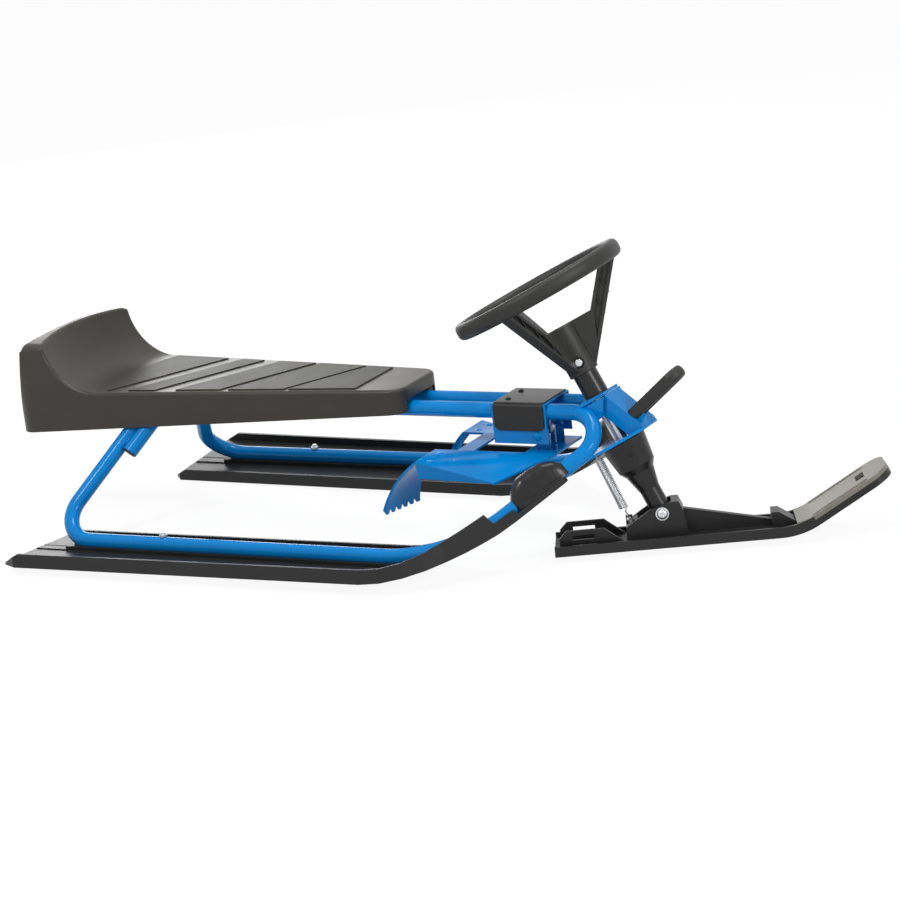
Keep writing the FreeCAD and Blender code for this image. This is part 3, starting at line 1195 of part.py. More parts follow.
spring_solid, eye_reach = centring_spring((high_hook - low_hook).Length)
spring_way = (high_hook - low_hook).normalize()
spring_side = (axle_way - spring_way * axle_way.dot(spring_way)).normalize()
spring_turn = Rotation(spring_side.cross(spring_way), spring_side, spring_way, "ZYX")
feature(spring_solid, "centring_spring", Placement(low_hook + spring_way * eye_reach, spring_turn))

# Foot brake: a bracket over the two upper tubes under a black cover, and a rocking toothed plate.

upper_half = size["upper_spacing"] / 2 + tube_radius
bracket_in = upper_half + size["bracket_gap"]
bracket_out = bracket_in + size["bracket_sheet"]
bracket_top = size["upper_height"] + tube_radius
brake_top = under_tubes("brake_drop")
pivot = Vector(size["pivot_x"], 0, under_tubes("pivot_drop"))


def across(radius, half, centre=pivot):
    return Part.makeCylinder(radius, 2 * half, centre - Vector(0, half, 0), Vector(0, 1, 0))


def channel(back, front, inner, outer, low, top, roof):
    """An upturned U of sheet along the tubes."""
    block = Part.makeBox(front - back, 2 * outer, roof - low, Vector(back, -outer, low))
    room = Part.makeBox(front - back, 2 * inner, top - low, Vector(back, -inner, low))
    return block.cut(room)


def screw_axes():
    half = size["cover_screw_pitch"] / 2
    return [Vector(size["cover_screw_x"], way * half, bracket_top) for way in (-1, 1)]


def brake_bracket():
    bracket = channel(size["bracket_back_x"], size["bracket_front_x"], bracket_in, bracket_out,
                      under_tubes("bracket_drop"), bracket_top, bracket_top + size["bracket_sheet"])
    bracket = bracket.cut(across(size["pivot_shank"] / 2 + size["seat_fit"], bracket_out))
    for axis in screw_axes():
        bracket = bracket.cut(Part.makeCylinder(size["cover_screw_shank"] / 2, size["bracket_sheet"], axis))
    return bracket


def brake_cover():
    inner = bracket_out + size["bracket_gap"]
    outer = inner + size["cover_wall"]
    top = bracket_top + size["bracket_sheet"]
    roof = top + size["cover_wall"]
    cover = channel(size["cover_back_x"], size["cover_front_x"], inner, outer,
                    under_tubes("cover_drop"), top, roof)
    ridges = [edge for edge in cover.Edges if edge.BoundBox.ZMin > top + size["seat_fit"]
              and abs(edge.tangentAt(edge.FirstParameter).x) > NEARLY_ALONG]
    cover = cover.makeFillet(size["cover_wall"] * size["cover_round_share"], ridges)
    for axis in screw_axes():
        cover = cover.cut(Part.makeCylinder(size["cover_screw_shank"] / 2, 2 * size["overrun"], axis))
    return cover


feature(brake_bracket(), "brake_bracket")
feature(brake_cover(), "brake_cover")


def cover_screw(axis):
    base = axis + Vector(0, 0, size["bracket_sheet"] + size["cover_wall"])
    head = Part.makeCylinder(size["cover_screw_head"] / 2, size["cover_screw_head_tall"], base)
    long = size["bracket_sheet"] + size["cover_wall"] + size["cover_screw_grip"]
    shank = Part.makeCylinder(size["cover_screw_shank"] / 2, long, base, Vector(0, 0, -1))
    return head.fuse(shank)


feature(Part.makeCompound([cover_screw(axis) for axis in screw_axes()]), "cover_screws")

pivot_bolt_head = Part.makeCylinder(size["pivot_head"] / 2, size["pivot_head_tall"],
                                    pivot - Vector(0, bracket_out, 0), Vector(0, -1, 0))
pivot_bolt_long = 2 * bracket_out + size["pivot_nut_tall"]
pivot_bolt_rod = Part.makeCylinder(size["pivot_shank"] / 2, pivot_bolt_long,
                                   pivot - Vector(0, bracket_out, 0), Vector(0, 1, 0))
feature(pivot_bolt_head.fuse(pivot_bolt_rod), "brake_pivot_bolt")
feature(hexagon_nut(size["pivot_head"], size["pivot_nut_tall"], size["pivot_shank"] / 2,
                    pivot + Vector(0, bracket_out, 0), Vector(0, 1, 0)), "brake_pivot_nut")


def sheet_line(a, b, y):
    """A cut through the plate: the upper line from a to b at y, closed one sheet below."""
    drop = Vector(0, 0, -size["brake_sheet"])
    points = [Vector(a[0], y, a[1]), Vector(b[0], y, b[1])]
    ends = points + [points[1] + drop, points[0] + drop]
    return Part.makePolygon(ends + [ends[0]])


def brake_wing():
    """The left foot rest: a twisted plate from the middle edge out to the lower, shorter outer edge."""
    inner = sheet_line((size["brake_rear_x"], brake_top), (size["brake_nose_x"], brake_top),
                       size["brake_inner"])
    outer = sheet_line((size["brake_rear_x"], brake_top),
                       (size["brake_toe_x"], under_tubes("brake_toe_drop")), size["brake_outer"])
    wing = Part.makeLoft([inner, outer], True, True)
    skirt_edge = size["brake_outer"] - size["brake_sheet"]
    skirt = prism_y([(size["brake_rear_x"], brake_top - size["brake_sheet"] / 2),
                     (size["brake_toe_x"], under_tubes("brake_toe_drop") - size["brake_sheet"] / 2),
                     (size["brake_rear_x"] + size["brake_sheet"], brake_top - size["skirt_drop"])],
                    skirt_edge, size["brake_outer"])
    return wing.fuse(skirt)


def claw_outline(y, tip):
    """A cut through the claw at y: an arc of sheet from the wing's rear edge down to a tip."""
    start = Vector(size["brake_rear_x"], y, brake_top)
    chord = tip - start
    bulge = Vector(chord.z, 0, -chord.x).normalize()
    middle = (start + tip) / 2 + bulge * (size["claw_curve"] / 2)
    inward = bulge * -size["brake_sheet"]
    edges = [Part.Arc(start, middle, tip).toShape(), Part.LineSegment(tip, tip + inward).toShape(),
             Part.Arc(tip + inward, middle + inward, start + inward).toShape(),
             Part.LineSegment(start + inward, start).toShape()]
    return Part.Wire(edges)


def brake_claw():
    """The left claw: the wing's rear edge bent down, steeper at its inner side, ending in a row of teeth."""
    sheet_thick = size["brake_sheet"]
    outer_tip = Vector(size["brake_rear_x"] - size["claw_back"], size["brake_outer"], size["claw_low_z"])
    inner_tip = Vector(outer_tip.x + size["claw_inner_lead"], size["brake_inner"],
                       outer_tip.z + size["claw_inner_rise"])
    claw = Part.makeLoft([claw_outline(tip.y, tip) for tip in (inner_tip, outer_tip)], True, True)
    count = int(size["tooth_count"])
    pitch = (outer_tip - inner_tip) / count
    root = Vector(size["brake_rear_x"], size["brake_inner"], brake_top)
    way = (inner_tip - root).normalize()
    out = way.cross(pitch).normalize() * (size["claw_curve"] + size["overrun"])
    for step in range(count):
        near = inner_tip + pitch * step
        far = near + pitch
        deep = way * size["tooth_deep"]
        notch = [near + deep, far + deep, far - deep]
        claw = claw.cut(polygon([point - out for point in notch]).extrude(out * 2))
    return claw


def brake_lug(y):
    """An ear that rises from the plate to the pivot."""
    low = brake_top - size["brake_sheet"]
    radius = size["lug_radius"]
    post = Part.makeBox(2 * radius, size["lug_thick"], pivot.z - low,
                        Vector(size["pivot_x"] - radius, y, low))
    eye = Part.makeCylinder(radius, size["lug_thick"], Vector(size["pivot_x"], y, pivot.z), Vector(0, 1, 0))
    bore = Part.makeCylinder(size["pivot_shank"] / 2 + size["pivot_gap"], size["lug_thick"],
                             Vector(size["pivot_x"], y, pivot.z), Vector(0, 1, 0))
    return post.fuse(eye).cut(bore)


def brake_plate():
    left = brake_wing().fuse(brake_claw())
    low = brake_top - size["brake_sheet"]
    inner = size["brake_inner"]
    middle = []
    for back, front in ((size["bar_back_x"], size["bar_front_x"]),
                        (size["bridge_back_x"], size["brake_nose_x"])):
        middle.append(Part.makeBox(front - back, 2 * inner, size["brake_sheet"], Vector(back, -inner, low)))
    lugs = [brake_lug(size["lug_half"]), brake_lug(-size["lug_half"] - size["lug_thick"])]
    plate = left.fuse(middle + lugs)
    return plate.fuse(mirrored(left)).removeSplitter()


feature(brake_plate(), "brake_plate")


def return_spring():
    """A torsion spring on the pivot between the lugs, one leg up to the bracket's roof, one on the plate."""
    wire = size["coil_wire"]
    coil = size["pivot_shank"] / 2 + size["coil_fit"] + wire / 2
    quarters = int(size["coil_turns"]) * 4
    rise = size["coil_pitch"] / 4
    climb = rise / (coil * math.pi / 2)
    start = -rise * quarters / 2
    level = Vector(0, 1, 0)
    up_leg = bracket_top - pivot.z - wire / 2 - size["coil_leg_fit"]
    foot = brake_top - pivot.z + wire / 2 + size["coil_leg_fit"]
    stations = [(Vector(coil, foot, start), level)]
    for step in range(quarters + 1):
        angle = step * math.pi / 2
        heading = Vector(-math.sin(angle), math.cos(angle), climb)
        if step in (0, quarters):
            heading = level
        point = Vector(coil * math.cos(angle), coil * math.sin(angle), start + step * rise)
        stations.append((point, heading))
    stations.append((Vector(coil, up_leg, -start), level))
    path, solid = wire_form(stations, wire / 2)
    turn_points = int(math.pi * coil / wire)
    print("return spring least gap to itself: %.2f mm" % least_self_gap(path, wire, turn_points))
    return solid


feature(return_spring(), "brake_return_spring", Placement(pivot, Rotation(Vector(1, 0, 0), 90)))

doc.recompute()

# The sled stands on the tails of the rear skis and the sole of the front ski, with the origin on the
# ground under the middle of its box.

stand = Placement(Vector(0, 0, 0), Rotation(Vector(0, 1, 0), -size["stand_pitch"]))
box = FreeCAD.BoundBox()
for item in nodes:
    box.add(placed(item.Shape, stand).optimalBoundingBox(False))
stand.Base = Vector(-(box.XMin + box.XMax) / 2, 0, -box.ZMin)
for item in nodes:
    item.Placement = stand.multiply(item.Placement)
doc.recompute()
os.makedirs("parts", exist_ok=True)
for item in doc.Objects:
    if "Invalid" in item.State or "Error" in item.State:
        raise RuntimeError("%s failed: %s" % (item.Label, item.State))
for item in nodes:
    if item.Shape.isNull() or not item.Shape.isValid():
        raise RuntimeError(item.Label + " has no valid shape")
for item in nodes:
    item.Shape.exportStep("parts/%s.step" % item.Label)
    print("%-24s %2d solids %9.0f mm3" % (item.Label, len(item.Shape.Solids), item.Shape.Volume))
box = FreeCAD.BoundBox()
for item in nodes:
    box.add(item.Shape.optimalBoundingBox(False))
print("box", [round(v, 1) for v in (box.XMin, box.XMax, box.YMin, box.YMax, box.ZMin, box.ZMax)])
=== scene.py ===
# %% [markdown]
# A steering sled for snow. Two moulded runners carry a bent blue tube frame, a moulded seat bolts
# on top of it, and a raked column at the front joins a wheel above to a turning ski below.
# The measured model comes first, as a fixed frame, and every piece here goes where that model says.
# A few small forms are added that it lacks, and their cells say what is guessed about them.

# %% Load the measured model
import json
import math

import bpy
from mathutils import Matrix, Vector


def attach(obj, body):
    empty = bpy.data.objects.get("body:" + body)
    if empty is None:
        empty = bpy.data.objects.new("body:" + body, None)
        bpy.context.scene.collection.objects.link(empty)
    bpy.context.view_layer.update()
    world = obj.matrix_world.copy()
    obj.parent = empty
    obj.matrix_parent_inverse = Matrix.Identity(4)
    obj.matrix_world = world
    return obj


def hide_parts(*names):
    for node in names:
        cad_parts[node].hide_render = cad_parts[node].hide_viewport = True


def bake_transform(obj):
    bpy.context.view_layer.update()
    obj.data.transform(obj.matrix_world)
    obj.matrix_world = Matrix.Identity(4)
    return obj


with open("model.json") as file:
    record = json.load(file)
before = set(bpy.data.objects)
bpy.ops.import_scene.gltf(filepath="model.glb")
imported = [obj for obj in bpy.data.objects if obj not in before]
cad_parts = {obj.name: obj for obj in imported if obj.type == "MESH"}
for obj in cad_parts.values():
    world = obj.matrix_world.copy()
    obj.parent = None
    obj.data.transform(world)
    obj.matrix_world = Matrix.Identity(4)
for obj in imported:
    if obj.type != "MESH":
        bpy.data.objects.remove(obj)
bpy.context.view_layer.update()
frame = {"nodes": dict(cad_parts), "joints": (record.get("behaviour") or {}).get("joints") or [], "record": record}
nodes = frame["nodes"]
scene = bpy.context.scene
scene.view_settings.view_transform = "Standard"
MM = 0.001

# %% [markdown]
# Colours are picked as they look on a screen, as sRGB hex values, but shaders want linear light.
# One function does the change. The others each add a shader node, set it and link it, which keeps
# a material down to a few readable lines. Pattern scales are real sizes: an object's own
# coordinates are in metres, so a grain of so many millimetres has a scale of a thousand over it.

# %% Colour and shader helpers
def linear(code):
    """An sRGB hex colour as the linear colour that a shader takes."""
    parts = [int(code[i:i + 2], 16) / 255 for i in (1, 3, 5)]
    return [c / 12.92 if c <= 0.04045 else ((c + 0.055) / 1.055) ** 2.4 for c in parts] + [1.0]


def grain(mm):
    """The texture scale that gives a grain of that many millimetres."""
    return 1000 / mm


def set_sockets(tree, node, sockets):
    """Gives each named socket of a node a value, or another node's output to link to."""
    for name, value in sockets.items():
        if isinstance(value, bpy.types.NodeSocket):
            tree.links.new(value, node.inputs[name])
        else:
            node.inputs[name].default_value = value


def add_node(tree, kind, sockets=None, **properties):
    """Adds a shader node with its properties and sockets."""
    node = tree.nodes.new(kind)
    for name, value in properties.items():
        setattr(node, name, value)
    set_sockets(tree, node, sockets or {})
    return node


# A mix node has sockets of several kinds under one name, so its colour sockets go by number.
MIX_SHARE, MIX_FIRST, MIX_SECOND, MIX_COLOUR = 0, 6, 7, 2


def two_tones(tree, share, first, second):
    """A colour that goes from the first to the second by a share."""
    sockets = {MIX_SHARE: share, MIX_FIRST: first, MIX_SECOND: second}
    return add_node(tree, "ShaderNodeMix", sockets, data_type="RGBA").outputs[MIX_COLOUR]


def noise(tree, coords, mm, detail):
    """Soft noise with patches of that many millimetres."""
    sockets = {"Vector": coords, "Scale": grain(mm), "Detail": detail}
    return add_node(tree, "ShaderNodeTexNoise", sockets).outputs["Fac"]


def soft_edge(tree, mm):
    """A normal that rounds sharp edges by that many millimetres."""
    return add_node(tree, "ShaderNodeBevel", {"Radius": mm * MM}, samples=4).outputs["Normal"]


def bumped(tree, height, strength, mm, normal):
    """A normal with a relief of that many millimetres over another normal."""
    sockets = {"Height": height, "Strength": strength, "Distance": mm * MM, "Normal": normal}
    return add_node(tree, "ShaderNodeBump", sockets).outputs["Normal"]


def start_material(name):
    """A new material with its tree, its main shader and the object's own coordinates."""
    material = bpy.data.materials.new(name)
    material.use_nodes = True
    tree = material.node_tree
    shader = tree.nodes["Principled BSDF"]
    coords = add_node(tree, "ShaderNodeTexCoord").outputs["Object"]
    return material, tree, shader, coords


# %% [markdown]
# The frame is mild steel with a polyester powder coat. The powder is sprayed dry and melts in an
# oven, which leaves a thick, glossy skin with a faint orange peel. The eye sees one strong blue,
# soft highlights along each tube, and slightly deeper colour where the coat runs thicker.

# %% Blue powder coat
def blue_powder_coat():
    material, tree, shader, coords = start_material("blue_powder_coat")
    tone = two_tones(tree, noise(tree, coords, 70, 3.0), linear("#0075BE"), linear("#0082CB"))
    peel = bumped(tree, noise(tree, coords, 3, 1.0), 0.12, 0.15, soft_edge(tree, 0.7))
    set_sockets(tree, shader, {"Base Color": tone, "Normal": peel, "Roughness": 0.16, "IOR": 1.5,
                               "Specular IOR Level": 0.16})
    return material


# %% [markdown]
# The bolts, nuts, washers and the long spring are steel with a bright zinc plating. The plating
# dulls unevenly as it ages, so the roughness wanders in patches about a millimetre and a half wide.

# %% Zinc plated steel
def zinc_plate():
    material, tree, shader, coords = start_material("bright_zinc_plate")
    patch = noise(tree, coords, 1.5, 4.0)
    tone = two_tones(tree, patch, linear("#B9BDC2"), linear("#E2E4E6"))
    dull = add_node(tree, "ShaderNodeMapRange", {"Value": patch, "To Min": 0.22, "To Max": 0.42})
    set_sockets(tree, shader, {"Base Color": tone, "Roughness": dull.outputs["Result"],
                               "Normal": soft_edge(tree, 0.4), "Metallic": 1.0})
    return material


# %% [markdown]
# There are four dark plastics. The seat is polyethylene in a textured mould, a warm dark grey. The
# runners and the front ski are polyethylene too, but black and dragged smooth along their length.
# The clips, leg, sleeve and cover are polypropylene from a polished mould, and so semi-gloss, and
# the wheel and tow loop come from a sandblasted mould, which leaves them matte. One function makes
# all four, and the pale nose of the ski, whose paleness is a painted sheen, and the blackened steel
# too, because they differ only in colour, grain and gloss.

# %% Moulded plastics
SHEEN_SPREAD = 0.05


def moulded(name, deep, pale, gloss, grain_mm, grain_depth, stretch=(1, 1, 1)):
    """A moulded plastic: two close colours, a roughness, and a grain with its size and depth."""
    material, tree, shader, coords = start_material(name)
    cloud = noise(tree, coords, 45, 4.0)
    tone = two_tones(tree, cloud, linear(deep), linear(pale))
    sheen = add_node(tree, "ShaderNodeMapRange", {"Value": cloud, "To Min": gloss - SHEEN_SPREAD,
                                                  "To Max": gloss + SHEEN_SPREAD})
    lie = add_node(tree, "ShaderNodeMapping", {"Vector": coords, "Scale": stretch})
    fine = noise(tree, lie.outputs["Vector"], grain_mm, 2.0)
    set_sockets(tree, shader, {"Base Color": tone, "Roughness": sheen.outputs["Result"],
                               "Normal": bumped(tree, fine, 0.5, grain_depth, soft_edge(tree, 0.8)),
                               "IOR": 1.5, "Specular IOR Level": 0.35})
    return material


# %% [markdown]
# The measured sled stands on its skis with its nose up by less than a degree. One matrix takes a place
# from the sled's own level frame, which its drawing uses, to where it stands. The camera, the seat's
# grip panels and every added piece go through it, so all of them share one set of plain dimensions.

# %% How the sled stands
STAND_TILT = math.radians(-0.835)
STAND_SHIFT = Vector((15.5756, 0, 5.18182)) * MM
STAND = Matrix.Translation(STAND_SHIFT) @ Matrix.Rotation(STAND_TILT, 4, "Y")


def level_place(x, y, z):
    """A place given in millimetres in the sled's level frame, as a matrix in metres."""
    return STAND @ Matrix.Translation(Vector((x, y, z)) * MM)


print("stands", round(math.degrees(STAND_TILT), 3), "degrees,", [round(v, 4) for v in STAND_SHIFT])

# %% [markdown]
# The seat is one moulding with two finishes: its raised grip panels come from an etched part of the
# mould and are dull, and the grooves between them are smooth and catch the light. The panels are
# also painted darker, as painted shade that stands for the sheen they lack. They stand 1.6 mm over
# the seat, so the height over the seat tells the shader which is which.

# %% Etched grip panels on the seat
PANEL_FOOT, PANEL_TOP, PANEL_OVER = 215.5, 216.3, 217.2
PANEL_REAR, PANEL_REAR_END = -512, -506


def seat_plastic():
    material = moulded("seat_polyethylene", "#2D2B26", "#36342E", 0.36, 1.0, 0.1)
    tree = material.node_tree
    shader = tree.nodes["Principled BSDF"]
    coords = add_node(tree, "ShaderNodeTexCoord").outputs["Object"]
    shifted = add_node(tree, "ShaderNodeMapping", {"Vector": coords, "Location": -STAND_SHIFT})
    level = add_node(tree, "ShaderNodeMapping", {"Vector": shifted.outputs["Vector"],
                                                 "Rotation": (0, -STAND_TILT, 0)})
    axes = add_node(tree, "ShaderNodeSeparateXYZ", {"Vector": level.outputs["Vector"]})
    steps = [("Z", PANEL_FOOT, PANEL_TOP), ("Z", PANEL_OVER, PANEL_TOP), ("X", PANEL_REAR, PANEL_REAR_END)]
    on_panel = 1.0
    for axis, start, end in steps:
        ramp = add_node(tree, "ShaderNodeMapRange", {"Value": axes.outputs[axis], "From Min": start * MM,
                                                     "From Max": end * MM})
        both = add_node(tree, "ShaderNodeMath", {0: ramp.outputs["Result"], 1: on_panel},
                        operation="MULTIPLY")
        on_panel = both.outputs["Value"]
    plain = [shader.inputs[name].links[0].from_socket for name in ("Base Color", "Roughness", "Normal")]
    tone, sheen, normal = plain
    # The panels' colour is painted darker here: painted shade for the sheen that the smooth grooves catch and the
    # dull panels lack.
    dark = two_tones(tree, on_panel, tone, linear("#1B1A18"))
    etched = add_node(tree, "ShaderNodeMath", {0: on_panel, 1: 0.22, 2: sheen}, operation="MULTIPLY_ADD")
    pits = add_node(tree, "ShaderNodeTexVoronoi", {"Vector": coords, "Scale": grain(1.6)})
    depth = add_node(tree, "ShaderNodeMath", {0: pits.outputs["Distance"], 1: on_panel}, operation="MULTIPLY")
    set_sockets(tree, shader, {"Base Color": dark, "Roughness": etched.outputs["Value"],
                               "Normal": bumped(tree, depth.outputs["Value"], 0.6, 0.25, normal)})
    return material


# %% [markdown]
# The record of the part says which finish each node has, by the name of a slot. The finished
# materials are put on the measured pieces slot by slot, so a later change of slot carries over.

# %% Put the finishes on the measured pieces
FINISHES = {
    "blue_paint": blue_powder_coat(),
    "zinc_steel": zinc_plate(),
    "black_steel": moulded("black_oxide_steel", "#141415", "#1E1E1F", 0.38, 0.8, 0.05),
    "seat_plastic": seat_plastic(),
    "ski_plastic": moulded("runner_polyethylene", "#131313", "#1A1A1A", 0.42, 1.2, 0.1, (0.08, 1, 1)),
    "gloss_black": moulded("polished_polypropylene", "#121213", "#19191A", 0.3, 1.0, 0.03),
    "matte_black": moulded("blasted_polypropylene", "#1F1E1D", "#2A2928", 0.48, 0.9, 0.12),
}
for entry in frame["record"]["subparts"]:
    shown = nodes[entry["node"]]
    for place in shown.material_slots:
        place.material = FINISHES[entry["material_slot"]]
# The leg's pin is a guess. It is shown blackened, although its slot says zinc.
nodes["leg_pin"].material_slots[0].material = FINISHES["black_steel"]

# %% [markdown]
# The camera stands where the photographer's did: about four metres away, a little ahead of the
# sled's side, some sixteen degrees up, and tilted by a few degrees. Its place, aim and lens were found
# by matching points of the model to the picture.

# %% Camera
LOOK_AT = Vector((0.007, 0, 0.11316))
AROUND = math.radians(29.324)
ABOVE = math.radians(15.653)
ROLL = math.radians(6.621)
AWAY = 4.0784
LENS, SENSOR = 116.64, 36

toward = Vector((-math.sin(AROUND) * math.cos(ABOVE), math.cos(AROUND) * math.cos(ABOVE), -math.sin(ABOVE)))
level = Vector((math.cos(AROUND), math.sin(AROUND), 0))
upright = level.cross(toward)
right = level * math.cos(ROLL) - upright * math.sin(ROLL)
up = level * math.sin(ROLL) + upright * math.cos(ROLL)
lens = bpy.data.cameras.new("camera")
lens.lens = LENS
lens.sensor_width = SENSOR
camera = bpy.data.objects.new("camera", lens)
scene.collection.objects.link(camera)
turned = Matrix((right, up, -toward)).transposed().to_4x4()
camera.matrix_world = STAND @ Matrix.Translation(LOOK_AT - toward * AWAY) @ turned
scene.camera = camera
print("camera at", [round(v, 3) for v in camera.location])

# %% [markdown]
# The small pieces are made as meshes in code. Each is drawn in millimetres about its own origin and
# then carried to its place by a matrix. A piece gets its finish and its body in one step, so nothing
# can be left behind when a joint moves, and it hides the plain measured piece that it stands for.

# %% Helpers for added pieces
SHARP_ANGLE = math.radians(35)


def put(name, mesh, slot, body=None, stands_for=()):
    """Shows a mesh as a piece with its finish, on the body that carries it."""
    piece = bpy.data.objects.new(name, mesh)
    scene.collection.objects.link(piece)
    mesh.materials.clear()
    mesh.materials.append(FINISHES[slot])
    mesh.polygons.foreach_set("use_smooth", [True] * len(mesh.polygons))
    mesh.set_sharp_from_angle(angle=SHARP_ANGLE)
    if body:
        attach(piece, body)
    if stands_for:
        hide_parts(*stands_for)
    return piece


def joined_mesh(name, parts):
    """One mesh from several rounds of (points in metres, faces)."""
    points, faces = [], []
    for part_points, part_faces in parts:
        faces += [[len(points) + i for i in face] for face in part_faces]
        points += part_points
    mesh = bpy.data.meshes.new(name)
    mesh.from_pydata(points, [], faces)
    mesh.validate()
    return mesh


def put_parts(name, parts, slot, body, stands_for=()):
    """Shows several parts as one piece."""
    return put(name, joined_mesh(name, parts), slot, body, stands_for)


def holder_of(name, parts):
    """An object that carries parts through a modifier and is removed afterwards."""
    holder = bpy.data.objects.new(name, joined_mesh(name, parts))
    scene.collection.objects.link(holder)
    return holder


def shaped_mesh(holder):
    """The mesh that a holder's modifiers leave."""
    graph = bpy.context.evaluated_depsgraph_get()
    return bpy.data.meshes.new_from_object(holder.evaluated_get(graph))


def rings_part(rings, place, closed=False):
    """Points and faces of a skin over rings of millimetre points, capped at both ends or closed on itself."""
    count = len(rings[0])
    points = [place @ (Vector(point) * MM) for ring in rings for point in ring]
    rows = len(rings)
    faces = []
    for row in range(rows if closed else rows - 1):
        ahead = (row + 1) % rows
        for i in range(count):
            j = (i + 1) % count
            faces.append([row * count + i, row * count + j, ahead * count + j, ahead * count + i])
    if not closed:
        faces.append(list(reversed(range(count))))
        faces.append(list(range((rows - 1) * count, rows * count)))
    return points, faces


ROUND_STEPS = 36
ROUND = [math.tau * step / ROUND_STEPS for step in range(ROUND_STEPS)]
# A turned profile ends on a tiny circle instead of the axis itself, so that no points double.
ON_AXIS = 0.01


def turned_part(profile, place):
    """A turned piece: (radius, height) points in millimetres about the place's own Z."""
    rings = [[(r * math.cos(a), r * math.sin(a), z) for a in ROUND] for r, z in profile]
    return rings_part(rings, place)


def wire_mesh(name, points, radius, swell=None):
    """A round wire along points in metres. swell gives each point's share of the radius."""
    curve = bpy.data.curves.new(name, "CURVE")
    curve.dimensions = "3D"
    curve.bevel_depth = radius * MM
    curve.bevel_resolution = 3
    curve.use_fill_caps = True
    spline = curve.splines.new("POLY")
    spline.points.add(len(points) - 1)
    for i, point in enumerate(points):
        spline.points[i].co = (*point, 1)
        spline.points[i].radius = swell[i] if swell else 1
    holder = bpy.data.objects.new(name, curve)
    mesh = bpy.data.meshes.new_from_object(holder)
    bpy.data.objects.remove(holder)
    bpy.data.curves.remove(curve)
    return mesh


print("round steps", ROUND_STEPS)

# %% [markdown]
# Two springs are wound from round wire. A spring could be a screw modifier on a circle, but its hooks
# would be missing, so the wire is drawn through stations, each a point and a heading, with a smooth
# run between neighbours. A quarter turn is the largest step, where such a run is still nearly round.

# %% Wire through stations
QUARTER_STRETCH = 1.11
RUN_STEPS = 6


def wire_run(stations, place):
    """Points in metres along a smooth wire through (point, heading) stations in millimetres."""
    points = []
    for (start, leave), (end, arrive) in zip(stations, stations[1:]):
        start, end = Vector(start), Vector(end)
        pull = (end - start).length * QUARTER_STRETCH
        leave, arrive = Vector(leave).normalized() * pull, Vector(arrive).normalized() * pull
        for step in range(RUN_STEPS):
            t = step / RUN_STEPS
            bend = (start * (2 * t ** 3 - 3 * t ** 2 + 1) + leave * (t ** 3 - 2 * t ** 2 + t)
                    + end * (3 * t ** 2 - 2 * t ** 3) + arrive * (t ** 3 - t ** 2))
            points.append(place @ (bend * MM))
    points.append(place @ (Vector(stations[-1][0]) * MM))
    return points


def coil_stations(radius, quarters, start, rise):
    """A station at each quarter turn of a coil about Z."""
    climb = rise / (radius * math.pi / 2)
    rows = []
    for step in range(quarters + 1):
        angle = step * math.pi / 2
        rows.append(((radius * math.cos(angle), radius * math.sin(angle), start + step * rise),
                     (-math.sin(angle), math.cos(angle), climb)))
    return rows


# %% [markdown]
# The centring spring pulls the front ski straight. It hangs from the head's low plate and hooks into
# a lug on the ski, so three joints move its lower end. It is cut into three lengths, one for each
# joint: frame to column, column to axle, axle to ski. The table names the two bodies of each joint,
# but the lengths are drawn in place here and are not put on any body.

# %% Centring spring
SPRING_WIRE, SPRING_COIL, SPRING_EYE, SPRING_NECK, SPRING_TURNS = 1.6, 5.7, 5.0, 6.0, 33
LOW_HOOK, HIGH_HOOK = Vector((280.09, -18.66, 35.62)), Vector((233.06, -2.15, 117.38))
AXLE_WAY = Vector(next(j["axis"] for j in frame["joints"] if j["name"] == "ski_pitch"))
along = (STAND.to_3x3() @ (HIGH_HOOK - LOW_HOOK)).normalized()
across = (AXLE_WAY - along * AXLE_WAY.dot(along)).normalized()
turn = Matrix((across.cross(along), across, along)).transposed().to_4x4()
coil_foot = STAND @ (LOW_HOOK * MM) + along * (SPRING_NECK + SPRING_EYE) * MM
spring_place = Matrix.Translation(coil_foot) @ turn
coil_tall = (HIGH_HOOK - LOW_HOOK).length - 2 * (SPRING_NECK + SPRING_EYE)
quarters = 4 * SPRING_TURNS + 1
eye = SPRING_EYE
low, high = -SPRING_NECK - eye, coil_tall + SPRING_NECK + eye
lift = SPRING_NECK / (SPRING_COIL / 2 * math.pi)
stations = [((0, -eye, low), (0, 0, -1)), ((0, 0, low - eye), (0, 1, 0)), ((0, eye, low), (0, 0, 1)),
            ((0, 0, low + eye), (0, -1, lift))]
stations += coil_stations(SPRING_COIL, quarters, 0, coil_tall / quarters)
stations += [((0, 0, high - eye), (1, 0, lift)), ((eye, 0, high), (0, 0, 1)),
             ((0, 0, high + eye), (-1, 0, 0)), ((-eye, 0, high), (0, 0, -1))]
spring_points = wire_run(stations, spring_place)
PITCH_END, ROCK_END = 0.14, 0.26
SPRING_LENGTHS = [("spring_hook_length", 0, PITCH_END, "front_ski", "axle_set"),
                  ("spring_middle_length", PITCH_END, ROCK_END, "axle_set", "steering"),
                  ("spring_long_length", ROCK_END, 1, "steering", "frame")]
last_point = len(spring_points) - 1
for name, start, end, low_body, high_body in SPRING_LENGTHS:
    first, final = round(start * last_point), round(end * last_point)
    stretch = spring_points[first:final + 1]
    piece = put(name, wire_mesh(name, stretch, SPRING_WIRE / 2), "zinc_steel", None, ["centring_spring"])
    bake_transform(piece)
print("spring of", len(spring_points), "points,", round(coil_tall, 1), "mm of coil")
